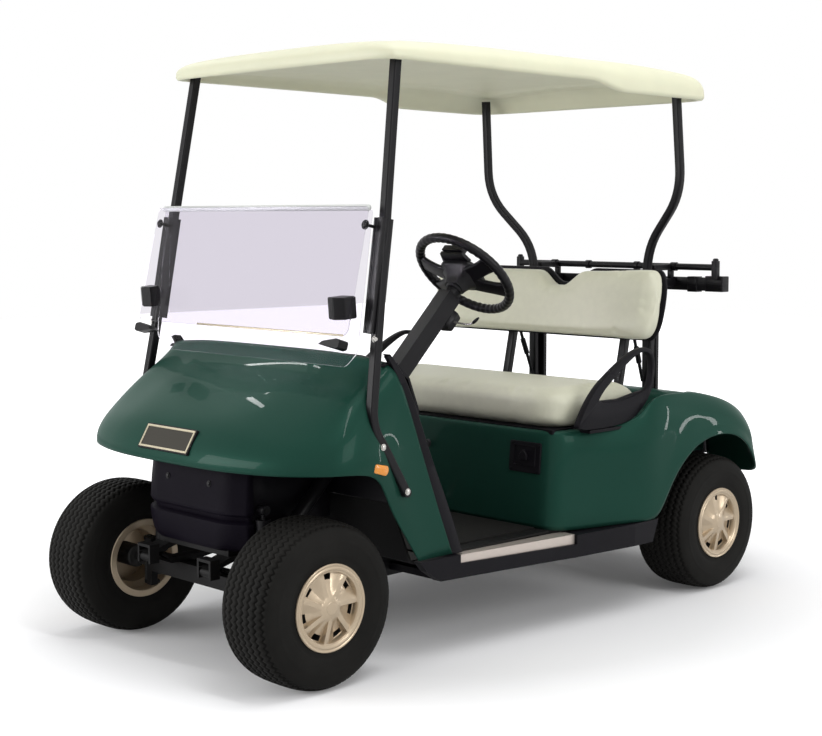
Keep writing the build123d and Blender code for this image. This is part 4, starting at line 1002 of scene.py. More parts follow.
seat_cushion = build("seat_pad", [seat_loaf()], ["stone_vinyl"], "seat", "seat_cushion",
                     weld=1e-4, closed=True)
stuff(seat_cushion, voxel=0.008, pressure=3.0, cap=0.010)
seat_points = coordinates(seat_cushion.data)
seat_points[:, 2] = np.maximum(seat_points[:, 2], seat_low[2] + SEAM_RISE)
seat_cushion.data.vertices.foreach_set("co", seat_points.ravel())
subdivided(seat_cushion)

# %% [markdown]
# The back cushion leans rearwards by twelve degrees and has a shallow scoop in the middle
# of its upper edge. Its shell is a thin black moulding that shows round the edges.

# %% Back cushion and shell
BACK_LEAN = math.tan(math.radians(12.0))
BACK_END_ROUND = 0.046
SCOOP_X, SCOOP_DEPTH = 0.085, 0.050        # the hollow in the top: its middle and its depth
SCOOP_START, SCOOP_END = 0.018, 0.116      # its slope, as distances from its middle
back_low, back_high = (np.array(c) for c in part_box("backrest_cushion"))
back_front = back_low[1]
back_rear = back_high[1] - (back_high[2] - back_low[2]) * BACK_LEAN     # at the lower edge


def back_loaf(half, thin, front, rear, small):
    """Sections of the back, leaning: front and rear are depths at the lower edge, thin is how
    far from the ends it narrows, and small is how far it stays inside its height."""
    x = end_columns(half, 160)
    side = corner(x, half, BACK_END_ROUND, 2.3)
    scoop = SCOOP_DEPTH * (1 - smooth(np.abs(x - SCOOP_X), SCOOP_START, SCOOP_END))
    middle = (back_low[2] + back_high[2]) / 2
    low = middle - (middle - back_low[2] + 0.006 - small) * side
    high = middle + (back_high[2] - small - middle) * side - scoop
    depth = (rear - front) / 2
    slim = 1 - (1 - corner(x, half, thin, 2.0)) * 0.9
    shape = loaf(x, (front + rear) / 2 - depth * slim, (front + rear) / 2 + depth * slim,
                 low, high, 5.0)
    shape[..., 1] += (shape[..., 2] - back_low[2]) * BACK_LEAN
    return Patch(shape, wrap_columns=True)


back_cushion = build(
    "back_pad", [back_loaf(back_high[0] + 0.002, 0.032, back_front + 0.006,
                           back_rear - 0.001, 0.005)],
    ["stone_vinyl"], "cart", "backrest_cushion", weld=1e-4, closed=True)
stuff(back_cushion, voxel=0.006, pressure=3.0, cap=0.007)
subdivided(back_cushion)

back_shell = build(
    "back_shell", [back_loaf(back_high[0], 0.05, back_rear - 0.004, back_rear + 0.0143, 0.002)],
    ["textured_black"], "cart", "backrest_shell", weld=1e-4, closed=True)
subdivided(back_shell)

# %% [markdown]
# ## Tyres
# The tread has eight zigzag grooves. Instead of cutting them, the grid itself runs in zigzags:
# each groove is four columns (edge, floor, floor, edge), and the whole row of columns shifts
# sideways by a triangle wave, four rows to a wave, so every edge is sharp.

# %% Tyre section and tread
TYRE_RADIUS, TYRE_HALF = 0.2285, 0.100
WAVES = 72                    # zigzags round the tyre
ZIGZAG = 0.0050               # sideways reach of a zigzag
GROOVE_FLOOR, GROOVE_EDGE, GROOVE_DEPTH = 0.0024, 0.0040, 0.0060
GROOVE_STEP, GROOVES = 0.0240, 4
OUTER_GROOVE = 0.7            # how deep the outermost groove is, as a share of the others
RIB, DIP = (0.176, 0.0014, 0.0022), (0.133, -0.0012, 0.003)     # radius, height, width

half_section = np.array([      # from the tread's middle to the bead: x, radius (mm)
    (0, 228.5), (34, 228.4), (66, 226.8), (86, 219), (95.5, 205), (99.5, 186), (100, 166),
    (99, 146), (95, 130), (92.6, 121.5), (93.6, 116), (93.8, 108), (93.8, 102)]) * MM


def tread_columns(length):
    """Arc positions of the columns on one half, and the depth of each."""
    columns = [(0.0, 0.0)]
    for k in range(GROOVES):
        middle = GROOVE_STEP * (k + 0.5)
        depth = GROOVE_DEPTH * (1.0 if k < GROOVES - 1 else OUTER_GROOVE)
        columns += [(middle - GROOVE_EDGE, 0), (middle - GROOVE_FLOOR, depth),
                    (middle + GROOVE_FLOOR, depth), (middle + GROOVE_EDGE, 0),
                    (middle + GROOVE_STEP / 2, 0)]
    start = columns[-1][0]
    columns += [(s, 0.0) for s in np.linspace(start, length, 26)[1:]]
    return np.array(columns)


def tyre_grid():
    """Points of a whole tyre about the X axis, its middle plane at x = 0: the half section
    read at each column's arc position, pushed out by ribs and in by grooves."""
    line = curve(half_section, 900)
    line *= (TYRE_HALF, TYRE_RADIUS) / line.max(0)
    length = np.concatenate([[0], np.cumsum(np.linalg.norm(np.diff(line, axis=0), axis=1))])
    columns = tread_columns(length[-1])
    arc = np.concatenate([-columns[:0:-1, 0], columns[:, 0]])
    depth = np.concatenate([columns[:0:-1, 1], columns[:, 1]])
    rows = WAVES * 4
    wave = np.array([0.0, 1.0, 0.0, -1.0])[np.arange(rows) % 4] * ZIGZAG
    fade = 1 - smooth(np.abs(arc), 0.086, 0.100)
    shifted = arc[None, :] + wave[:, None] * fade[None, :]
    slope = np.gradient(line, length, axis=0)
    x, radius, slope_x, slope_radius = (
        np.interp(np.abs(shifted), length, values)
        for values in (line[:, 0], line[:, 1], slope[:, 0], slope[:, 1]))
    rib, dip = (height * np.exp(-((radius - at) / width) ** 2)
                for at, height, width in (RIB, DIP))
    lift = rib * (np.abs(arc) > 0.1) + dip - depth[None, :]
    x, radius = (x - slope_radius * lift) * np.sign(shifted), radius + slope_x * lift
    a = np.linspace(0, 2 * np.pi, rows, endpoint=False)[:, None]
    return np.stack([x, radius * np.cos(a), radius * np.sin(a)], axis=-1)


half_tracks = {"front": 0.432, "rear": 0.489}
axle_places = {"front": -0.9615, "rear": 0.7145}
corners = [(end, side, s) for end in half_tracks for side, s in (("left", 1), ("right", -1))]


def wheel_place(points, end, s):
    """Set wheel points, modelled with +X outboard, at their corner of the cart."""
    return points * (s, s, 1) + (s * half_tracks[end], axle_places[end], TYRE_RADIUS)


tyre_points = tyre_grid()
for end, side, s in corners:
    build(f"tyre_{end}_{side}_tread", [Patch(wheel_place(tyre_points, end, s), wrap_rows=True)],
          ["tyre_rubber"], f"{end}_{side}_wheel", f"tyre_{end}_{side}")
print("tyre quads each:", (tyre_points.shape[1] - 1) * tyre_points.shape[0])

# %% [markdown]
# ## Wheels
# The cover is a height field in polar form. Seven vanes rise between a domed hub and the
# outer wall; each has one steep side and one long ramp. The valley between two vanes is a
# cone that ends in a window. Column places depend on the radius, so a vane keeps its width.

# %% Wheel cover
VANES = 7
VANE_WIDTH = 0.0135
RIM_FACE = 0.0985             # outboard face of the cover's ring, from the middle plane

cover_rows = np.array([       # radius, height of the valley, height of a vane's top
    (0.2, 3.4, 3.4), (9, 3.3, 3.3), (17, 2.6, 2.6), (18, 1.6, 1.6), (26, 0.2, 0.2),
    (33, -2.2, -2.0), (36, -4.2, -2.6), (46, -9.5, -3.2), (58, -14.0, -3.8),
    (72, -18.0, -4.6), (75, -18.8, -4.8), (76, -19.2, -4.9), (84, -21.0, -5.4),
    (90, -22.0, -5.8), (91, -22.2, -6.0), (94, -21.5, -6.4), (95.4, -6.0, -5.0),
    (97, -3.4, -3.2), (101, -2.0, -2.0), (103.5, 0.6, 0.6), (106.5, 1.0, 1.0),
    (108.5, -0.6, -0.6), (111, -0.9, -0.9), (113.5, 0.8, 0.8), (116.5, 1.0, 1.0),
    (118.3, -0.6, -0.6), (118.5, -3.5, -3.5)]) * MM
WINDOW_START, WINDOW_END, WINDOW_DEPTH = 0.0755, 0.0905, 0.040   # radii, and how deep
VANE_LEAD = 0.0012            # reach of a vane's steep side round the cover
RAMP_END = 0.48               # share of the way to the next vane where the ramp ends
vane_ramp = np.array([0.10, 0.22, 0.36, RAMP_END, 0.50, 0.66, 0.82, 0.90, 0.92])
WINDOW_COLUMNS = (0.50, 0.90)


def cover_grid():
    """Points and finish (0 champagne, 1 dark) of the cover, +X outboard. At each radius a
    sector's columns are a vane's foot, its level top and its ramp; the height goes from the
    valley's to the top's by their share, and a window's columns drop inside."""
    radius, valley, top = cover_rows.T
    sector = 2 * np.pi / VANES
    lead = VANE_LEAD / np.maximum(radius, 0.02)
    width = np.minimum(VANE_WIDTH / np.maximum(radius, 0.02), 0.6 * sector)
    start = np.stack([-lead, 0 * lead, width / 2, width], axis=1)
    rest = width[:, None] + (sector - lead - width)[:, None] * vane_ramp
    angles = np.concatenate([start, rest], axis=1)
    share = np.concatenate([[0, 1, 1, 1], (1 - vane_ramp / RAMP_END).clip(0) ** 1.3])
    height = valley[:, None] + (top - valley)[:, None] * share[None, :]
    inside = (radius > WINDOW_START) & (radius < WINDOW_END)
    in_window = (vane_ramp >= WINDOW_COLUMNS[0]) & (vane_ramp <= WINDOW_COLUMNS[1])
    open_columns = np.concatenate([[False] * 4, in_window])
    height -= WINDOW_DEPTH * inside[:, None] * open_columns[None, :]
    turn = (np.arange(VANES) * sector)[None, :, None]
    a = (angles[:, None, :] + turn).reshape(len(radius), -1)
    h = np.broadcast_to(height[:, None, :], (len(radius), VANES, height.shape[1]))
    points = np.stack([RIM_FACE + h.reshape(a.shape), radius[:, None] * np.cos(a),
                       radius[:, None] * np.sin(a)], axis=-1)
    dark = (inside[:-1] | inside[1:])[:, None] & (open_columns | np.roll(open_columns, -1))[None]
    return points, np.tile(dark, (1, VANES)).astype(int)


# %% [markdown]
# Behind the cover stand the rim's barrel, its disc, the hub and four wheel bolts; a rear
# wheel also has its brake drum. Each is a closed ring turned about the axle.

# %% Rims and wheels
ring_sections = {             # (x, radius) in millimetres, from the wheel's middle plane
    "barrel": [(-98, 117), (-97, 118.5), (-94, 118.5), (-94, 101.6), (-50, 101.6),
               (-38, 85.6), (32, 85.6), (44, 101.6), (94, 101.6), (94, 118.0), (96, 118.5),
               (96, 97.6), (46, 97.6), (33, 81.6), (-39, 81.6), (-51, 97.6), (-96, 97.6),
               (-98, 100)],
    "disc": [(20, 20), (20, 82), (27, 82), (27, 20)],
    "hub": [(-60, 13), (-60, 30), (-56, 34), (60, 34), (64, 28), (64, 0.1), (-20, 0.1),
            (-20, 13)],
    "drum": [(-94, 76), (-94, 82), (20, 82), (20, 76), (8, 76), (8, 33), (0, 33), (0, 76)]}
BOLT_CIRCLE, BOLT_X = 0.050, 0.027         # radius, and where the bolt heads start


def ring(name, finish, steps):
    """A closed ring about the X axis."""
    section = ring_sections[name]
    return turned(np.array(section + section[:1]) * MM, (0, 0, 0), X, steps, finish)


def rim_patches(drum):
    """Everything of a wheel behind its cover, +X outboard."""
    parts = [ring("barrel", 0, 96), ring("disc", 0, 48), ring("hub", 1, 40)]
    if drum:
        parts.append(ring("drum", 1, 64))
    for a in np.pi / 4 + np.arange(4) * np.pi / 2:
        parts.append(bolt((BOLT_X, BOLT_CIRCLE * math.cos(a), BOLT_CIRCLE * math.sin(a)), X,
                          0.008, 0.012, 1))
    return parts


cover_points, cover_finish = cover_grid()
for end, side, s in corners:
    parts = [Patch(cover_points, cover_finish, wrap_columns=True, flip=True)]
    parts += rim_patches(end == "rear")
    for part in parts:
        part.points = wheel_place(part.points, end, s)
    build(f"wheel_{end}_{side}_rim", parts, ["champagne_satin", "cast_black"],
          f"{end}_{side}_wheel", f"wheel_{end}_{side}", crisp=34)
print("wheels:", len(corners))


# %% [markdown]
# ## The windshield
# Two clear sheets: the lower one stands in front of the legs, and the upper one is folded
# down in front of it from a hinge strip along the top. Depth and height in millimetres.

# %% Windshield sheets
LOWER_FOOT, LOWER_HEAD = (-815, 850), (-764, 1278)
UPPER_FOOT, UPPER_HEAD = (-866, 938), (-783, 1284)
SHEET = 0.004


def windshield_sheet(which, foot, head, foot_half, head_half, cut):
    """A sheet between two (y, z) edges: a trapezium whose foot corners are cut and rounded.
    Returns its direction up."""
    foot, head = np.array([0, *foot]) * MM, np.array([0, *head]) * MM
    length = np.linalg.norm(head - foot)
    outline = outline_of([(0, 0), (foot_half - cut, 0), (foot_half, cut * 0.9),
                          (head_half, length), (-head_half, length), (-foot_half, cut * 0.9),
                          (cut - foot_half, 0), (0, 0)], 0.014, 5)
    build(f"windshield_{which}_sheet", [plate(outline, foot, X, head - foot, SHEET)],
          ["clear_acrylic"], "cart", f"windshield_{which}", weld=SEAM, flat=True)
    return head - foot


windshield_sheet("lower", LOWER_FOOT, LOWER_HEAD, 0.470, 0.482, 0.045)
folded_up = windshield_sheet("upper", UPPER_FOOT, UPPER_HEAD, 0.492, 0.488, 0.016)
hinge = rod((-0.474, -0.7735, 1.281), (0.474, -0.7735, 1.281), 0.0085, 20, Y)
build("windshield_hinge", [hinge], ["plate_white"], "cart", weld=SEAM)
gasket = plate(rounded_rectangle(0.66, 0.006, 0.002), (0.145, -0.8665, 0.941), X, folded_up,
               0.0015)
build("windshield_gasket", [gasket], ["pale_gilt"], "cart", weld=SEAM)

# %% [markdown]
# The lower sheet is held in black channels that wrap the front legs, with a dome screw near
# the top. Square clips between the sheets keep the folded one from rattling, and tapered
# catches below take its edge.

# %% Channels, screws and clips
leg_low, leg_high = np.array([0.5006, -0.7818, 0.942]), np.array([0.4910, -0.7306, 1.251])
channel_section = outline_of([
    (-0.0165, 0.017), (-0.0165, -0.026), (-0.009, -0.026), (-0.008, -0.0235), (-0.004, -0.0235),
    (-0.003, -0.026), (0.0165, -0.026), (0.0165, -0.010), (0.0145, -0.009), (0.0145, -0.004),
    (0.0165, -0.003), (0.0165, 0.017), (-0.0165, 0.017)], 0.002, 3)
clip_outline = outline_of([(-0.030, -0.026), (0.000, -0.036), (0.030, -0.020), (0.032, 0.022),
                           (-0.022, 0.018), (-0.030, -0.026)], 0.005)
catch_outline = outline_of([(-0.044, -0.004), (0.030, -0.014), (0.044, -0.010), (0.044, 0.012),
                            (0.024, 0.016), (-0.030, 0.006), (-0.044, -0.004)], 0.005)
screw = (0.478, -0.789, 1.235)
fittings = [
    tube(leg_low + (leg_high - leg_low) * np.linspace(0, 1, 8)[:, None], channel_section),
    bolt(screw, (0, -1, 0.2), 0.0088, 0.009), rod(screw, (0.478, -0.752, 1.228), 0.0045, 12),
    plate(clip_outline, (0.448, -0.843, 0.984), X, (0, 1, 0.08), 0.060, edge=0.003),
    plate(catch_outline, (0.438, -0.856, 0.910), X, (0, 0.3, 1), 0.034, edge=0.003)]
build("windshield_fittings", both_sides(fittings), ["moulded_black"], "cart",
      "windshield_clips", crisp=35)
print("windshield done")


# %% [markdown]
# ## Nose fascia and badge
# The fascia hangs under the nose: an upper panel with two screws, a step with a slot, and a
# rounded bumper block below. One closed outline in plan is strung down through its heights.

# %% Fascia
fascia_rows = np.array([       # height, half width, front, corner radius (mm)
    (598, 226, -1012, 20), (590, 226, -1022, 24), (560, 228, -1031, 26), (500, 232, -1037, 28),
    (448, 233, -1041, 30), (441, 233, -1042, 30), (437, 231, -1040, 30), (433, 226, -1032, 30),
    (421, 224, -1029, 30), (418, 230, -1038, 34), (413, 234, -1043, 38), (404, 235, -1044, 40),
    (380, 234, -1043, 44), (356, 228, -1041, 50), (342, 220, -1037, 54), (334, 208, -1030, 56),
    (331, 180, -1012, 50), (331, 120, -1000, 40)])
FASCIA_REAR = -985


def fascia_ring(height, half, front, radius):
    """Closed plan outline of the fascia at a height."""
    side = rounded_path([(0, front), (half * 0.72, front), (half, front + 26 + radius * 0.3),
                         (half, FASCIA_REAR)], radius, 9)
    outline = np.concatenate([side, (side * (-1, 1))[::-1][:-1]])
    return np.column_stack([outline, np.full(len(outline), height)])


fascia_rings = np.array([fascia_ring(*row) for row in fascia_rows]) * MM
fascia_rings = capped(fascia_rings, (0, -1.005, 0.598), (0, -0.99, 0.331))
screws = [bolt((x, -1.0362, 0.517), (0, -1, 0.1), 0.006, 0.004, 1) for x in (-0.098, 0.098)]
build("fascia_panel", [Patch(fascia_rings, wrap_columns=True, flip=True), *screws],
      ["fascia_violet", "moulded_black"], "cart", "front_fascia", weld=SEAM, closed=True,
      crisp=38)

# %% [markdown]
# The badge is blank: a gilt frame round a dark field on a thin black plate.

# %% Badge
middle_line = cowl_left[:, 0]            # the cowl's middle, from the lip up


def on_middle(z):
    """Point of the cowl's middle line at a height on the nose."""
    nose = middle_line[:30]
    order = np.argsort(nose[:, 2])
    return np.array([0, np.interp(z, nose[order, 2], nose[order, 1]), z])


badge_foot, badge_head = on_middle(0.603), on_middle(0.668)
badge_tall = np.linalg.norm(badge_head - badge_foot)
badge_up = unit(badge_head - badge_foot)
badge_out = np.cross(X, badge_up)
badge_middle = (badge_foot + badge_head) / 2 + badge_out * 0.0105
FRAME_WIDE, FRAME_PROUD = 0.0060, 0.0028
frame_profile = [(0, 0), (0, FRAME_PROUD * 0.7), (-0.0012, FRAME_PROUD),
                 (0.0012 - FRAME_WIDE, FRAME_PROUD), (-FRAME_WIDE, FRAME_PROUD * 0.4)]
build("badge_blank",
      [plate(rounded_rectangle(0.236, badge_tall, 0.003), badge_middle - badge_out * 0.0135,
             X, badge_up, 0.014, 0, 0.0008),
       plate(rounded_rectangle(0.218, badge_tall - 0.016, 0.001), badge_middle, X, badge_up,
             0.0012, 1, 0.0004),
       frame_ring(0.113, badge_tall / 2 - 0.004, badge_middle, badge_up, badge_out,
                  frame_profile, 2)],
      ["moulded_black", "dark_bronze", "pale_gilt"], "cart", "badge_plate", flat=True)
print("nose done")


# %% [markdown]
# ## Lamps, shade sheets and fasteners at the front
# An amber marker lamp sits ahead of each front leg. Black sheets in the wheel wells are painted
# shade that stands in for the dark inside of the wells, and bright bolts hold the legs to the
# cowl.

# %% Marker lamps and leg bolts
lamp_outline = outline_of([(-0.026, -0.012), (0.020, -0.014), (0.026, 0), (0.020, 0.014),
                           (-0.026, 0.012), (-0.028, 0), (-0.026, -0.012)], 0.006)
lamp = plate(lamp_outline, (0.538, -0.802, 0.581), (0, 1, -0.26), (0, 0.26, 1), 0.019,
             edge=0.003)
build("marker_lamp_lenses", both_sides([lamp]), ["amber_lens"], "cart", "marker_lamps")

bolts = [((0.5452, -0.7895, 0.6400), X, 0.0062, 0.006),       # place, axis, radius, height
         ((0.5452, -0.7000, 0.5080), X, 0.0062, 0.006),
         ((0.5200, -0.7945, 0.9300), (1, -0.6, 0), 0.0065, 0.007),
         ((0.5330, -0.8020, 0.6450), X, 0.0055, 0.005)]
spacer = turned([(0, 0), (0, 0.0131), (0.0262, 0.0131), (0.0262, 0)],
                (0.5189, -0.6975, 0.5045), X, 28, 1)
build("leg_fasteners", both_sides([bolt(*sizes) for sizes in bolts] + [spacer]),
      ["bright_steel", "powder_black"], "cart", crisp=40)

# %% [markdown]
# The black trim runs down the cowl's rear edge as a flat band, a little proud of the panel,
# with a wider moulding where it meets the floor.

# %% Trim and painted-shade sheets in the wheel wells
trim_front = np.array([(-500, 299), (-556, 432), (-606, 560), (-667, 722), (-703, 806),
                       (-722, 858), (-738, 879)]) * MM
trim_rear = np.array([(-456, 299), (-506, 432), (-570, 560), (-632, 722), (-676, 812),
                      (-704, 862), (-724, 884)]) * MM


TRIM_X = 0.5145               # half width of the cowl's side under the trim
trim_section = [(0, -0.012), (0, 0.0015), (0.08, 0.0030), (0.9, 0.0030), (1, 0.0005),
                (1, -0.030)]  # share of the band's width, height out of the panel


def trim_band():
    """A band between two (y, z) curves on the cowl's side, rounded to the outside."""
    front, rear = curve(trim_front, 60), curve(trim_rear, 60)
    half = TRIM_X - 0.012 * smooth(front[:, 1], 0.80, 0.88)
    return Patch([np.column_stack([half + out, front + (rear - front) * share])
                  for share, out in trim_section])


# Black sheets close the wheel wells: painted shade where the wells are only in shade.
well_wall = [[(0.224, y, z) for y in np.linspace(-0.99, -0.705, 6)]
             for z in (0.40, 0.50, 0.605)]
well_roof = [[(x, y, z) for y in np.linspace(-1.03, -0.70, 6)]
             for x, z in ((0.0, 0.610), (0.224, 0.610), (0.36, 0.610), (0.470, 0.590))]
build("wheel_well_shade_sheets", both_sides([Patch(well_wall), Patch(well_roof)]),
      ["textured_black"], "cart", sheet=0.003)
build("cowl_trim", both_sides([trim_band()]), ["textured_black"], "cart", crisp=35)

# %% [markdown]
# Under the windshield the cowl turns down as a black ledge that meets the dash.

# %% Dash ledge
ledge_x = np.linspace(-0.500, 0.500, 41)
ledge_drop = 0.016 * smooth(np.abs(ledge_x), 0.36, 0.50)
ledge_rows = [(-0.746, 0.8680), (-0.738, 0.8745), (-0.715, 0.8745), (-0.702, 0.8700),
              (-0.694, 0.8600)]
ledge = [np.column_stack([ledge_x, np.full(len(ledge_x), y), z - ledge_drop])
         for y, z in ledge_rows]
build("dash_ledge", [Patch(ledge)], ["textured_black"], "cart", sheet=0.004)
print("front details done")


# %% [markdown]
# ## Hip restraints
# Each restraint is one moulding: an arched arm that rises from the seat's front corner and
# curls down at the rear, round an open window, and a solid panel below it. Outer edge and
# window are closed curves with the same number of points, so rings join them.

# %% Restraint outlines
RESTRAINT_X = 0.548
restraint_outer = np.array([
    (-6, 606), (10, 632), (42, 684), (78, 722), (114, 752), (176, 790), (239, 824),
    (290, 843), (325, 848), (356, 843), (376, 826), (386, 800), (384, 765), (379, 734),
    (366, 704), (347, 676), (320, 650), (286, 626), (240, 612), (190, 606), (104, 604)])
restraint_window = np.array([
    (100, 690), (106, 702), (126, 722), (148, 738), (170, 752), (206, 777), (244, 800),
    (276, 818), (306, 831), (334, 832), (354, 824), (366, 806), (368, 782), (366, 756),
    (362, 732), (352, 716), (330, 708), (294, 699), (250, 690), (204, 685), (140, 684)])


def closed_curve(points, samples):
    """Smooth closed curve near its control points: a longer curve that runs past its start,
    cut where it passes the first point and where it comes back to it."""
    line = curve(np.concatenate([points[-3:], points, points[:3]]), 4 * samples)
    away = np.linalg.norm(line - points[0], axis=1)
    half = 2 * samples
    start, tail = np.argmin(away[:half]), np.argmin(away[half:]) + half
    picked = np.linspace(start, tail, samples, endpoint=False)
    return np.column_stack([np.interp(picked, np.arange(len(line)), line[:, k])
                            for k in (0, 1)]) * MM


def restraint_patch(outer, inner, half_thick, edge):
    """Rings round a flat loop, at x = RESTRAINT_X: each steps in from the outer or the inner
    curve by a share of edge, and out by a share of half_thick."""
    outer, inner = closed_curve(outer, 120), closed_curve(inner, 120)
    inward = unit(inner - outer) * edge
    rounding = [(0.0, 0.4), (0.3, 0.8), (1.0, 1.0)]
    rings = [(outer + inward * step, -height) for step, height in rounding]
    rings += [(inner - inward * step, -height) for step, height in rounding[::-1]]
    rings += [(inner - inward * step, height) for step, height in rounding]
    rings += [(outer + inward * step, height) for step, height in rounding[::-1]]
    return Patch([np.column_stack([np.full(len(line), RESTRAINT_X + half_thick * height), line])
                  for line, height in rings], wrap_rows=True, wrap_columns=True)


# %% [markdown]
# The lower part is closed by a web set back from both faces, and a foot reaches from it
# under the seat.

# %% Restraints
web_outline = outline_of([(96, 614), (282, 634), (344, 684), (356, 712), (292, 704), (204, 690),
                          (108, 692), (60, 676), (26, 636), (96, 614)], 10) * MM
restraint = [restraint_patch(restraint_outer, restraint_window, 0.0115, 0.004),
             plate(web_outline, (RESTRAINT_X - 0.008, 0, 0), Y, Z, 0.014, edge=0.002),
             box_piece((0.482, 0.062, 0.5935), (0.556, 0.298, 0.6035), 0.004)]
build("hip_restraint_pair", both_sides(restraint), ["textured_black"], "seat",
      "hip_restraints", crisp=50)
print("restraints done")


# %% [markdown]
# ## Steering wheel
# The wheel is modelled in its own plane and then laid onto the tilted column: u runs across
# the cart, v towards the driver's lap, w up the column towards the driver.

# %% Steering wheel
WHEEL_CENTRE = np.array([0.250, -0.180, 1.084])
tilt = math.radians(45.0)
wheel_axes = np.array([X, (0, math.cos(tilt), -math.sin(tilt)),
                       (0, math.sin(tilt), math.cos(tilt))])
RING, GRIP_RADIUS, FINGER_GRIPS = 0.1585, 0.0145, 48


def on_wheel(points, centre=WHEEL_CENTRE):
    """Points (..., 3) given as u, v, w of the wheel's plane, placed on the cart."""
    return centre + np.asarray(points, float) @ wheel_axes


def rim_grid(around=240, round_tube=20):
    """The rim: a torus whose inner side carries shallow finger grips."""
    a = np.linspace(0, 2 * np.pi, around, endpoint=False)[:, None]
    b = np.linspace(0, 2 * np.pi, round_tube, endpoint=False)[None, :]
    inner_side = np.clip(-np.cos(b), 0, 1)
    radius = GRIP_RADIUS + 0.0011 * np.cos(FINGER_GRIPS * a) * (0.35 + 0.65 * inner_side)
    out = RING + radius * np.cos(b)
    return on_wheel(np.stack([out * np.cos(a), out * np.sin(a),
                              radius * np.sin(b) + 0 * a], axis=-1))


def spoke(degrees):
    """A broad spoke from the hub to the rim, dished away from the driver."""
    angle = math.radians(degrees)
    t = np.linspace(0, 1, 14)[:, None]
    start, end = 0.018, RING - 0.004
    reach = start + (end - start) * t
    path = np.concatenate([reach * math.cos(angle), reach * math.sin(angle),
                           -0.020 + 0.018 * t ** 2], axis=1)
    width = 1.0 + 0.5 * (1 - t) ** 2 + 0.35 * t ** 6
    rings = along(path, rounded_rectangle(0.048, 0.014, 0.006),
                  (-math.sin(angle), math.cos(angle), 0),
                  np.concatenate([width, 0.9 + 0.3 * t], axis=1))
    return Patch(on_wheel(rings), wrap_columns=True)


def pressed(outline, layers, centre=WHEEL_CENTRE, middle=(0.0, 0.0)):
    """A closed moulding that stands on the wheel's plane, or on a plane beside it."""
    return Patch(on_wheel(stacked(outline, layers, middle), centre), wrap_columns=True)


# %% [markdown]
# The centre pad is a rounded shield with a raised middle, tapering to the hub behind. At its
# far edge sits a spring clip that holds a score card.

# %% Pad, card holder and hub
pad_outline = outline_of([(-0.074, -0.034), (-0.050, -0.062), (0.050, -0.062), (0.074, -0.034),
                          (0.066, 0.040), (0.034, 0.058), (-0.034, 0.058), (-0.066, 0.040),
                          (-0.074, -0.034)], 0.016, 5)
pad_layers = [(0.0, -0.062), (0.44, -0.062), (0.50, -0.048), (0.60, -0.034), (0.92, -0.018),
              (1.0, -0.010), (1.0, 0.002), (0.96, 0.007), (0.80, 0.009), (0.72, 0.006),
              (0.0, 0.006)]
clip_base = outline_of([(-0.046, -0.088), (0.046, -0.088), (0.058, -0.050), (-0.058, -0.050),
                        (-0.046, -0.088)], 0.004, 3)
clip_jaw = outline_of([(-0.042, -0.094), (0.042, -0.094), (0.040, -0.070), (-0.040, -0.070),
                       (-0.042, -0.094)], 0.003, 3)
wheel_parts = [Patch(rim_grid(), wrap_rows=True, wrap_columns=True),
               turned([(-0.180, 0.0), (-0.180, 0.0088), (-0.068, 0.0088), (-0.068, 0.024),
                       (-0.064, 0.027), (-0.040, 0.030), (-0.020, 0.032), (-0.020, 0.0)],
                      WHEEL_CENTRE, wheel_axes[2], 40),
               pressed(pad_outline, pad_layers), *(spoke(a) for a in (24, 156, -20, 200))]
for outline, low, high in ((clip_base, 0.0, 0.012), (clip_jaw, 0.012, 0.032)):
    layers = [(0.0, low), (0.985, low), (1.0, low + 0.002), (1.0, high - 0.002), (0.97, high),
              (0.0, high)]
    wheel_parts.append(pressed(outline, layers, middle=outline.mean(0)))
build("steering_wheel_moulding", wheel_parts, ["moulded_black"], "steering_wheel",
      "steering_wheel", closed=True, crisp=42)

# %% [markdown]
# The turn signal is a small wedge-sided box clamped to the column, with a bent bright lever
# and a black tip.

# %% Turn signal
signal_at = on_wheel((0, 0.046, -0.150))
signal_outline = outline_of([(-0.024, -0.017), (0.024, -0.017), (0.030, -0.004), (0.026, 0.020),
                             (-0.018, 0.020), (-0.026, 0.008), (-0.024, -0.017)], 0.004)
signal_layers = [(0.0, -0.029), (0.9, -0.029), (1.0, -0.025), (1.0, 0.022), (0.92, 0.027),
                 (0.0, 0.027)]
stalk = curve([(0.024, 0.004, -0.004), (0.050, 0.006, -0.004), (0.082, 0.010, -0.006),
               (0.098, 0.010, -0.002), (0.112, 0.004, 0.010)], 18)
tip = curve([(0.100, 0.009, 0.001), (0.108, 0.006, 0.007), (0.121, 0.000, 0.017)], 8)
tip_sizes = [0.75, 1, 1.1, 1.15, 1.1, 1, 0.85, 0.5]
build("turn_signal_switch",
      [pressed(signal_outline, signal_layers, signal_at),
       tube(on_wheel(stalk, signal_at), circle(0.0030, 12), 1, Z),
       tube(on_wheel(tip, signal_at), circle(0.0046, 12), 0, Z, tip_sizes)],
      ["moulded_black", "bright_steel"], "cart", "turn_signal", closed=True, crisp=40)
print("steering done")


# %% [markdown]
# ## Fittings on the skirt
# The charger socket has a square plate with a recessed door and a small peaked pull. Below
# it sits a blank label; nearer the middle is the direction knob.

# %% Charger, label, knob
skirt_up = unit([0, 24.0, 291.0])
skirt_out = np.cross(X, skirt_up)


def on_skirt(x, z, out):
    """Point on the seat skirt's front face, pushed out by out metres."""
    return np.array([x, -0.058 + 0.024 * (z - 0.301) / 0.291, z]) + skirt_out * out


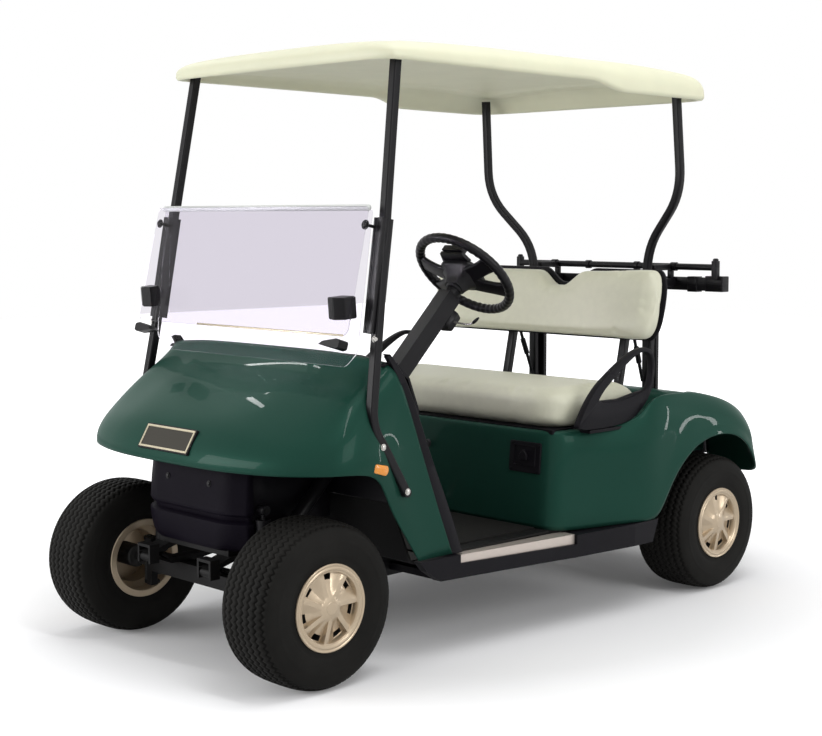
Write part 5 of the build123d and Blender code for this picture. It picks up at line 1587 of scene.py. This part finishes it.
socket_middle = on_skirt(0.386, 0.515, 0.0030)
socket_face = socket_middle + skirt_out * 0.0070
door_profile = [(0, 0), (-0.001, 0.0026), (-0.002, 0.0026), (-0.003, 0)]
pull = outline_of([(-0.016, -0.016), (0.016, -0.016), (0.016, 0.000), (0.0, 0.017),
                   (-0.016, 0.000), (-0.016, -0.016)], 0.004, 3)
charger_parts = [
    plate(rounded_rectangle(0.130, 0.096, 0.006), socket_middle, X, skirt_up, 0.0072,
          edge=0.002),
    frame_ring(0.046, 0.032, socket_face + skirt_up * 0.006, skirt_up, skirt_out, door_profile),
    plate(pull, socket_face + skirt_up * 0.008, X, skirt_up, 0.010, edge=0.002)]
charger_parts += [bolt(socket_face + skirt_up * up + np.array([side, 0, 0]), skirt_out, 0.003,
                       0.002) for side in (-0.057, 0.057) for up in (-0.040, 0.040)]
build("charger_socket", charger_parts, ["textured_black"], "cart", "charger_receptacle",
      crisp=35)
label = plate(rounded_rectangle(0.084, 0.022, 0.002), on_skirt(0.388, 0.4525, 0.0046), X,
              skirt_up, 0.0012, edge=0.0003)
build("blank_label", [label], ["plate_white"], "cart", flat=True)
knob = turned([(0, 0), (0, 0.0150), (0.006, 0.0150), (0.008, 0.0135), (0.009, 0.0085),
               (0.012, 0.0095), (0.016, 0.0115), (0.024, 0.0112), (0.0265, 0.0085), (0.027, 0)],
              on_skirt(-0.048, 0.514, -0.001), skirt_out, 32)
build("direction_knob_turned", [knob], ["case_grey"], "cart", "direction_knob", crisp=40)
print("skirt fittings done")


# %% [markdown]
# ## Rear legs, back frame and bag rack
# The rear canopy legs are bent square tube. At the seat they stand in pressed channels that
# also carry the backrest and the rack where golf bags are strapped.

# %% Rear canopy legs
leg_run = np.array([(440, 633, 1692), (447, 660, 1342), (266, 712, 1152), (264, 722, 600)]) * MM
rear_leg = [tube(rounded_path(leg_run, 0.090, 8), rounded_rectangle(0.026, 0.026, 0.005)),
            box_piece((0.250, 0.708, 0.360), (0.278, 0.736, 0.610))]
build("rear_leg_tubes", both_sides(rear_leg), ["powder_black"], "cart", "rear_struts", crisp=40)

# %% [markdown]
# Each channel is about 56 mm wide, with a clamp bolt. Slim braces rise from the deck to the
# backrest, and a thin rod with an adjusting nut ties each brace to its channel.

# %% Backrest frame
brace_run = np.array([(262, 548, 372), (262, 548, 610), (262, 607, 884)]) * MM
frame_parts = [
    tube(brace_run, rounded_rectangle(0.028, 0.024, 0.003)),
    box_piece((0.236, 0.7375, 0.600), (0.290, 0.7560, 1.052), 0.003),
    box_piece((0.2785, 0.712, 0.640), (0.2865, 0.738, 1.000), 0.002),
    box_piece((0.249, 0.590, 0.868), (0.275, 0.618, 1.000), 0.003),
    rod((0.270, 0.622, 0.900), (0.262, 0.700, 0.690), 0.0058, 10),
    rod((0.2675, 0.655, 0.812), (0.2645, 0.676, 0.756), 0.0095, 8),
    box_piece((0.2500, 0.617, 0.905), (0.2740, 0.7390, 0.929), 0.002)]
build("backrest_frame", both_sides(frame_parts), ["powder_black"], "cart", "backrest_posts",
      crisp=40)

# %% [markdown]
# The rack is a round bar above a flat one, between end plates. Short arms carry both from
# the channels, and collars sit on the round bar.

# %% Bag rack
RACK_Y, RACK_Z = 0.850, 1.089              # the round bar's middle line


def rack_bar(start, end, radius):
    """A piece of round bar on the rack's middle line between two x places."""
    return rod((start, RACK_Y, RACK_Z), (end, RACK_Y, RACK_Z), radius, 18, Y)


rack_side = [
    box_piece((0.448, 0.838, 1.048), (0.470, 0.862, 1.112), 0.004),
    box_piece((0.408, 0.858, 1.004), (0.482, 0.900, 1.058), 0.004),
    box_piece((0.330, 0.860, 1.001), (0.372, 0.896, 1.055), 0.004),
    box_piece((0.252, 0.742, 1.018), (0.278, 0.868, 1.046), 0.004),
    box_piece((0.254, 0.742, 1.076), (0.276, 0.852, 1.096), 0.004),
    box_piece((0.256, 0.842, 1.046), (0.276, 0.858, 1.082), 0.003),
    rack_bar(0.105, 0.123, 0.0155), rack_bar(0.270, 0.292, 0.0155),
    turned([(0, 0), (0, 0.010), (0.006, 0.010), (0.009, 0.006), (0.009, 0)],
           (0.459, RACK_Y, 1.1115), Z, 16)]
rack_parts = [rack_bar(-0.458, 0.458, 0.0115),
              box_piece((-0.470, 0.864, 1.006), (0.470, 0.890, 1.052), 0.005)]
build("bag_rack_bars", rack_parts + both_sides(rack_side), ["powder_black"], "cart",
      "bag_rack", crisp=40)
print("rear frame done")


# %% [markdown]
# ## Finishes for the CAD pieces that stay
# Chassis, axles, springs and tubes already have their true shape, so each only gets the
# finish of its real coating.

# %% Finish the CAD pieces
cad_finish = {
    "chassis_black": "chassis_frame floor_pan leaf_springs front_axle",
    "mat_rubber": "floor_mat",
    "green_metallic": "cowl rear_body",
    "textured_black": "dash front_fascia bagwell rocker_panels pedals backrest_shell seat_base "
                      "hip_restraints",
    "dark_bronze": "badge_plate",
    "amber_lens": "marker_lamps",
    "sill_alloy": "sill_plates",
    "case_grey": "battery_block",
    "cast_black": "motor rear_axle knuckle_left knuckle_right tie_rod",
    "powder_black": "shock_absorbers steering_column backrest_posts front_struts rear_struts "
                    "bag_rack",
    "moulded_black": "turn_signal charger_receptacle direction_knob windshield_clips "
                     "steering_wheel",
    "stone_vinyl": "backrest_cushion seat_cushion",
    "roof_stone": "roof",
    "clear_acrylic": "windshield_lower windshield_upper",
}
finish_of = {node: finish for finish, nodes in cad_finish.items() for node in nodes.split()}
for name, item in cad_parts.items():
    wheel_finish = "tyre_rubber" if name.startswith("tyre") else "champagne_satin"
    item.data.materials.clear()
    item.data.materials.append(finishes[finish_of.get(name, wheel_finish)])
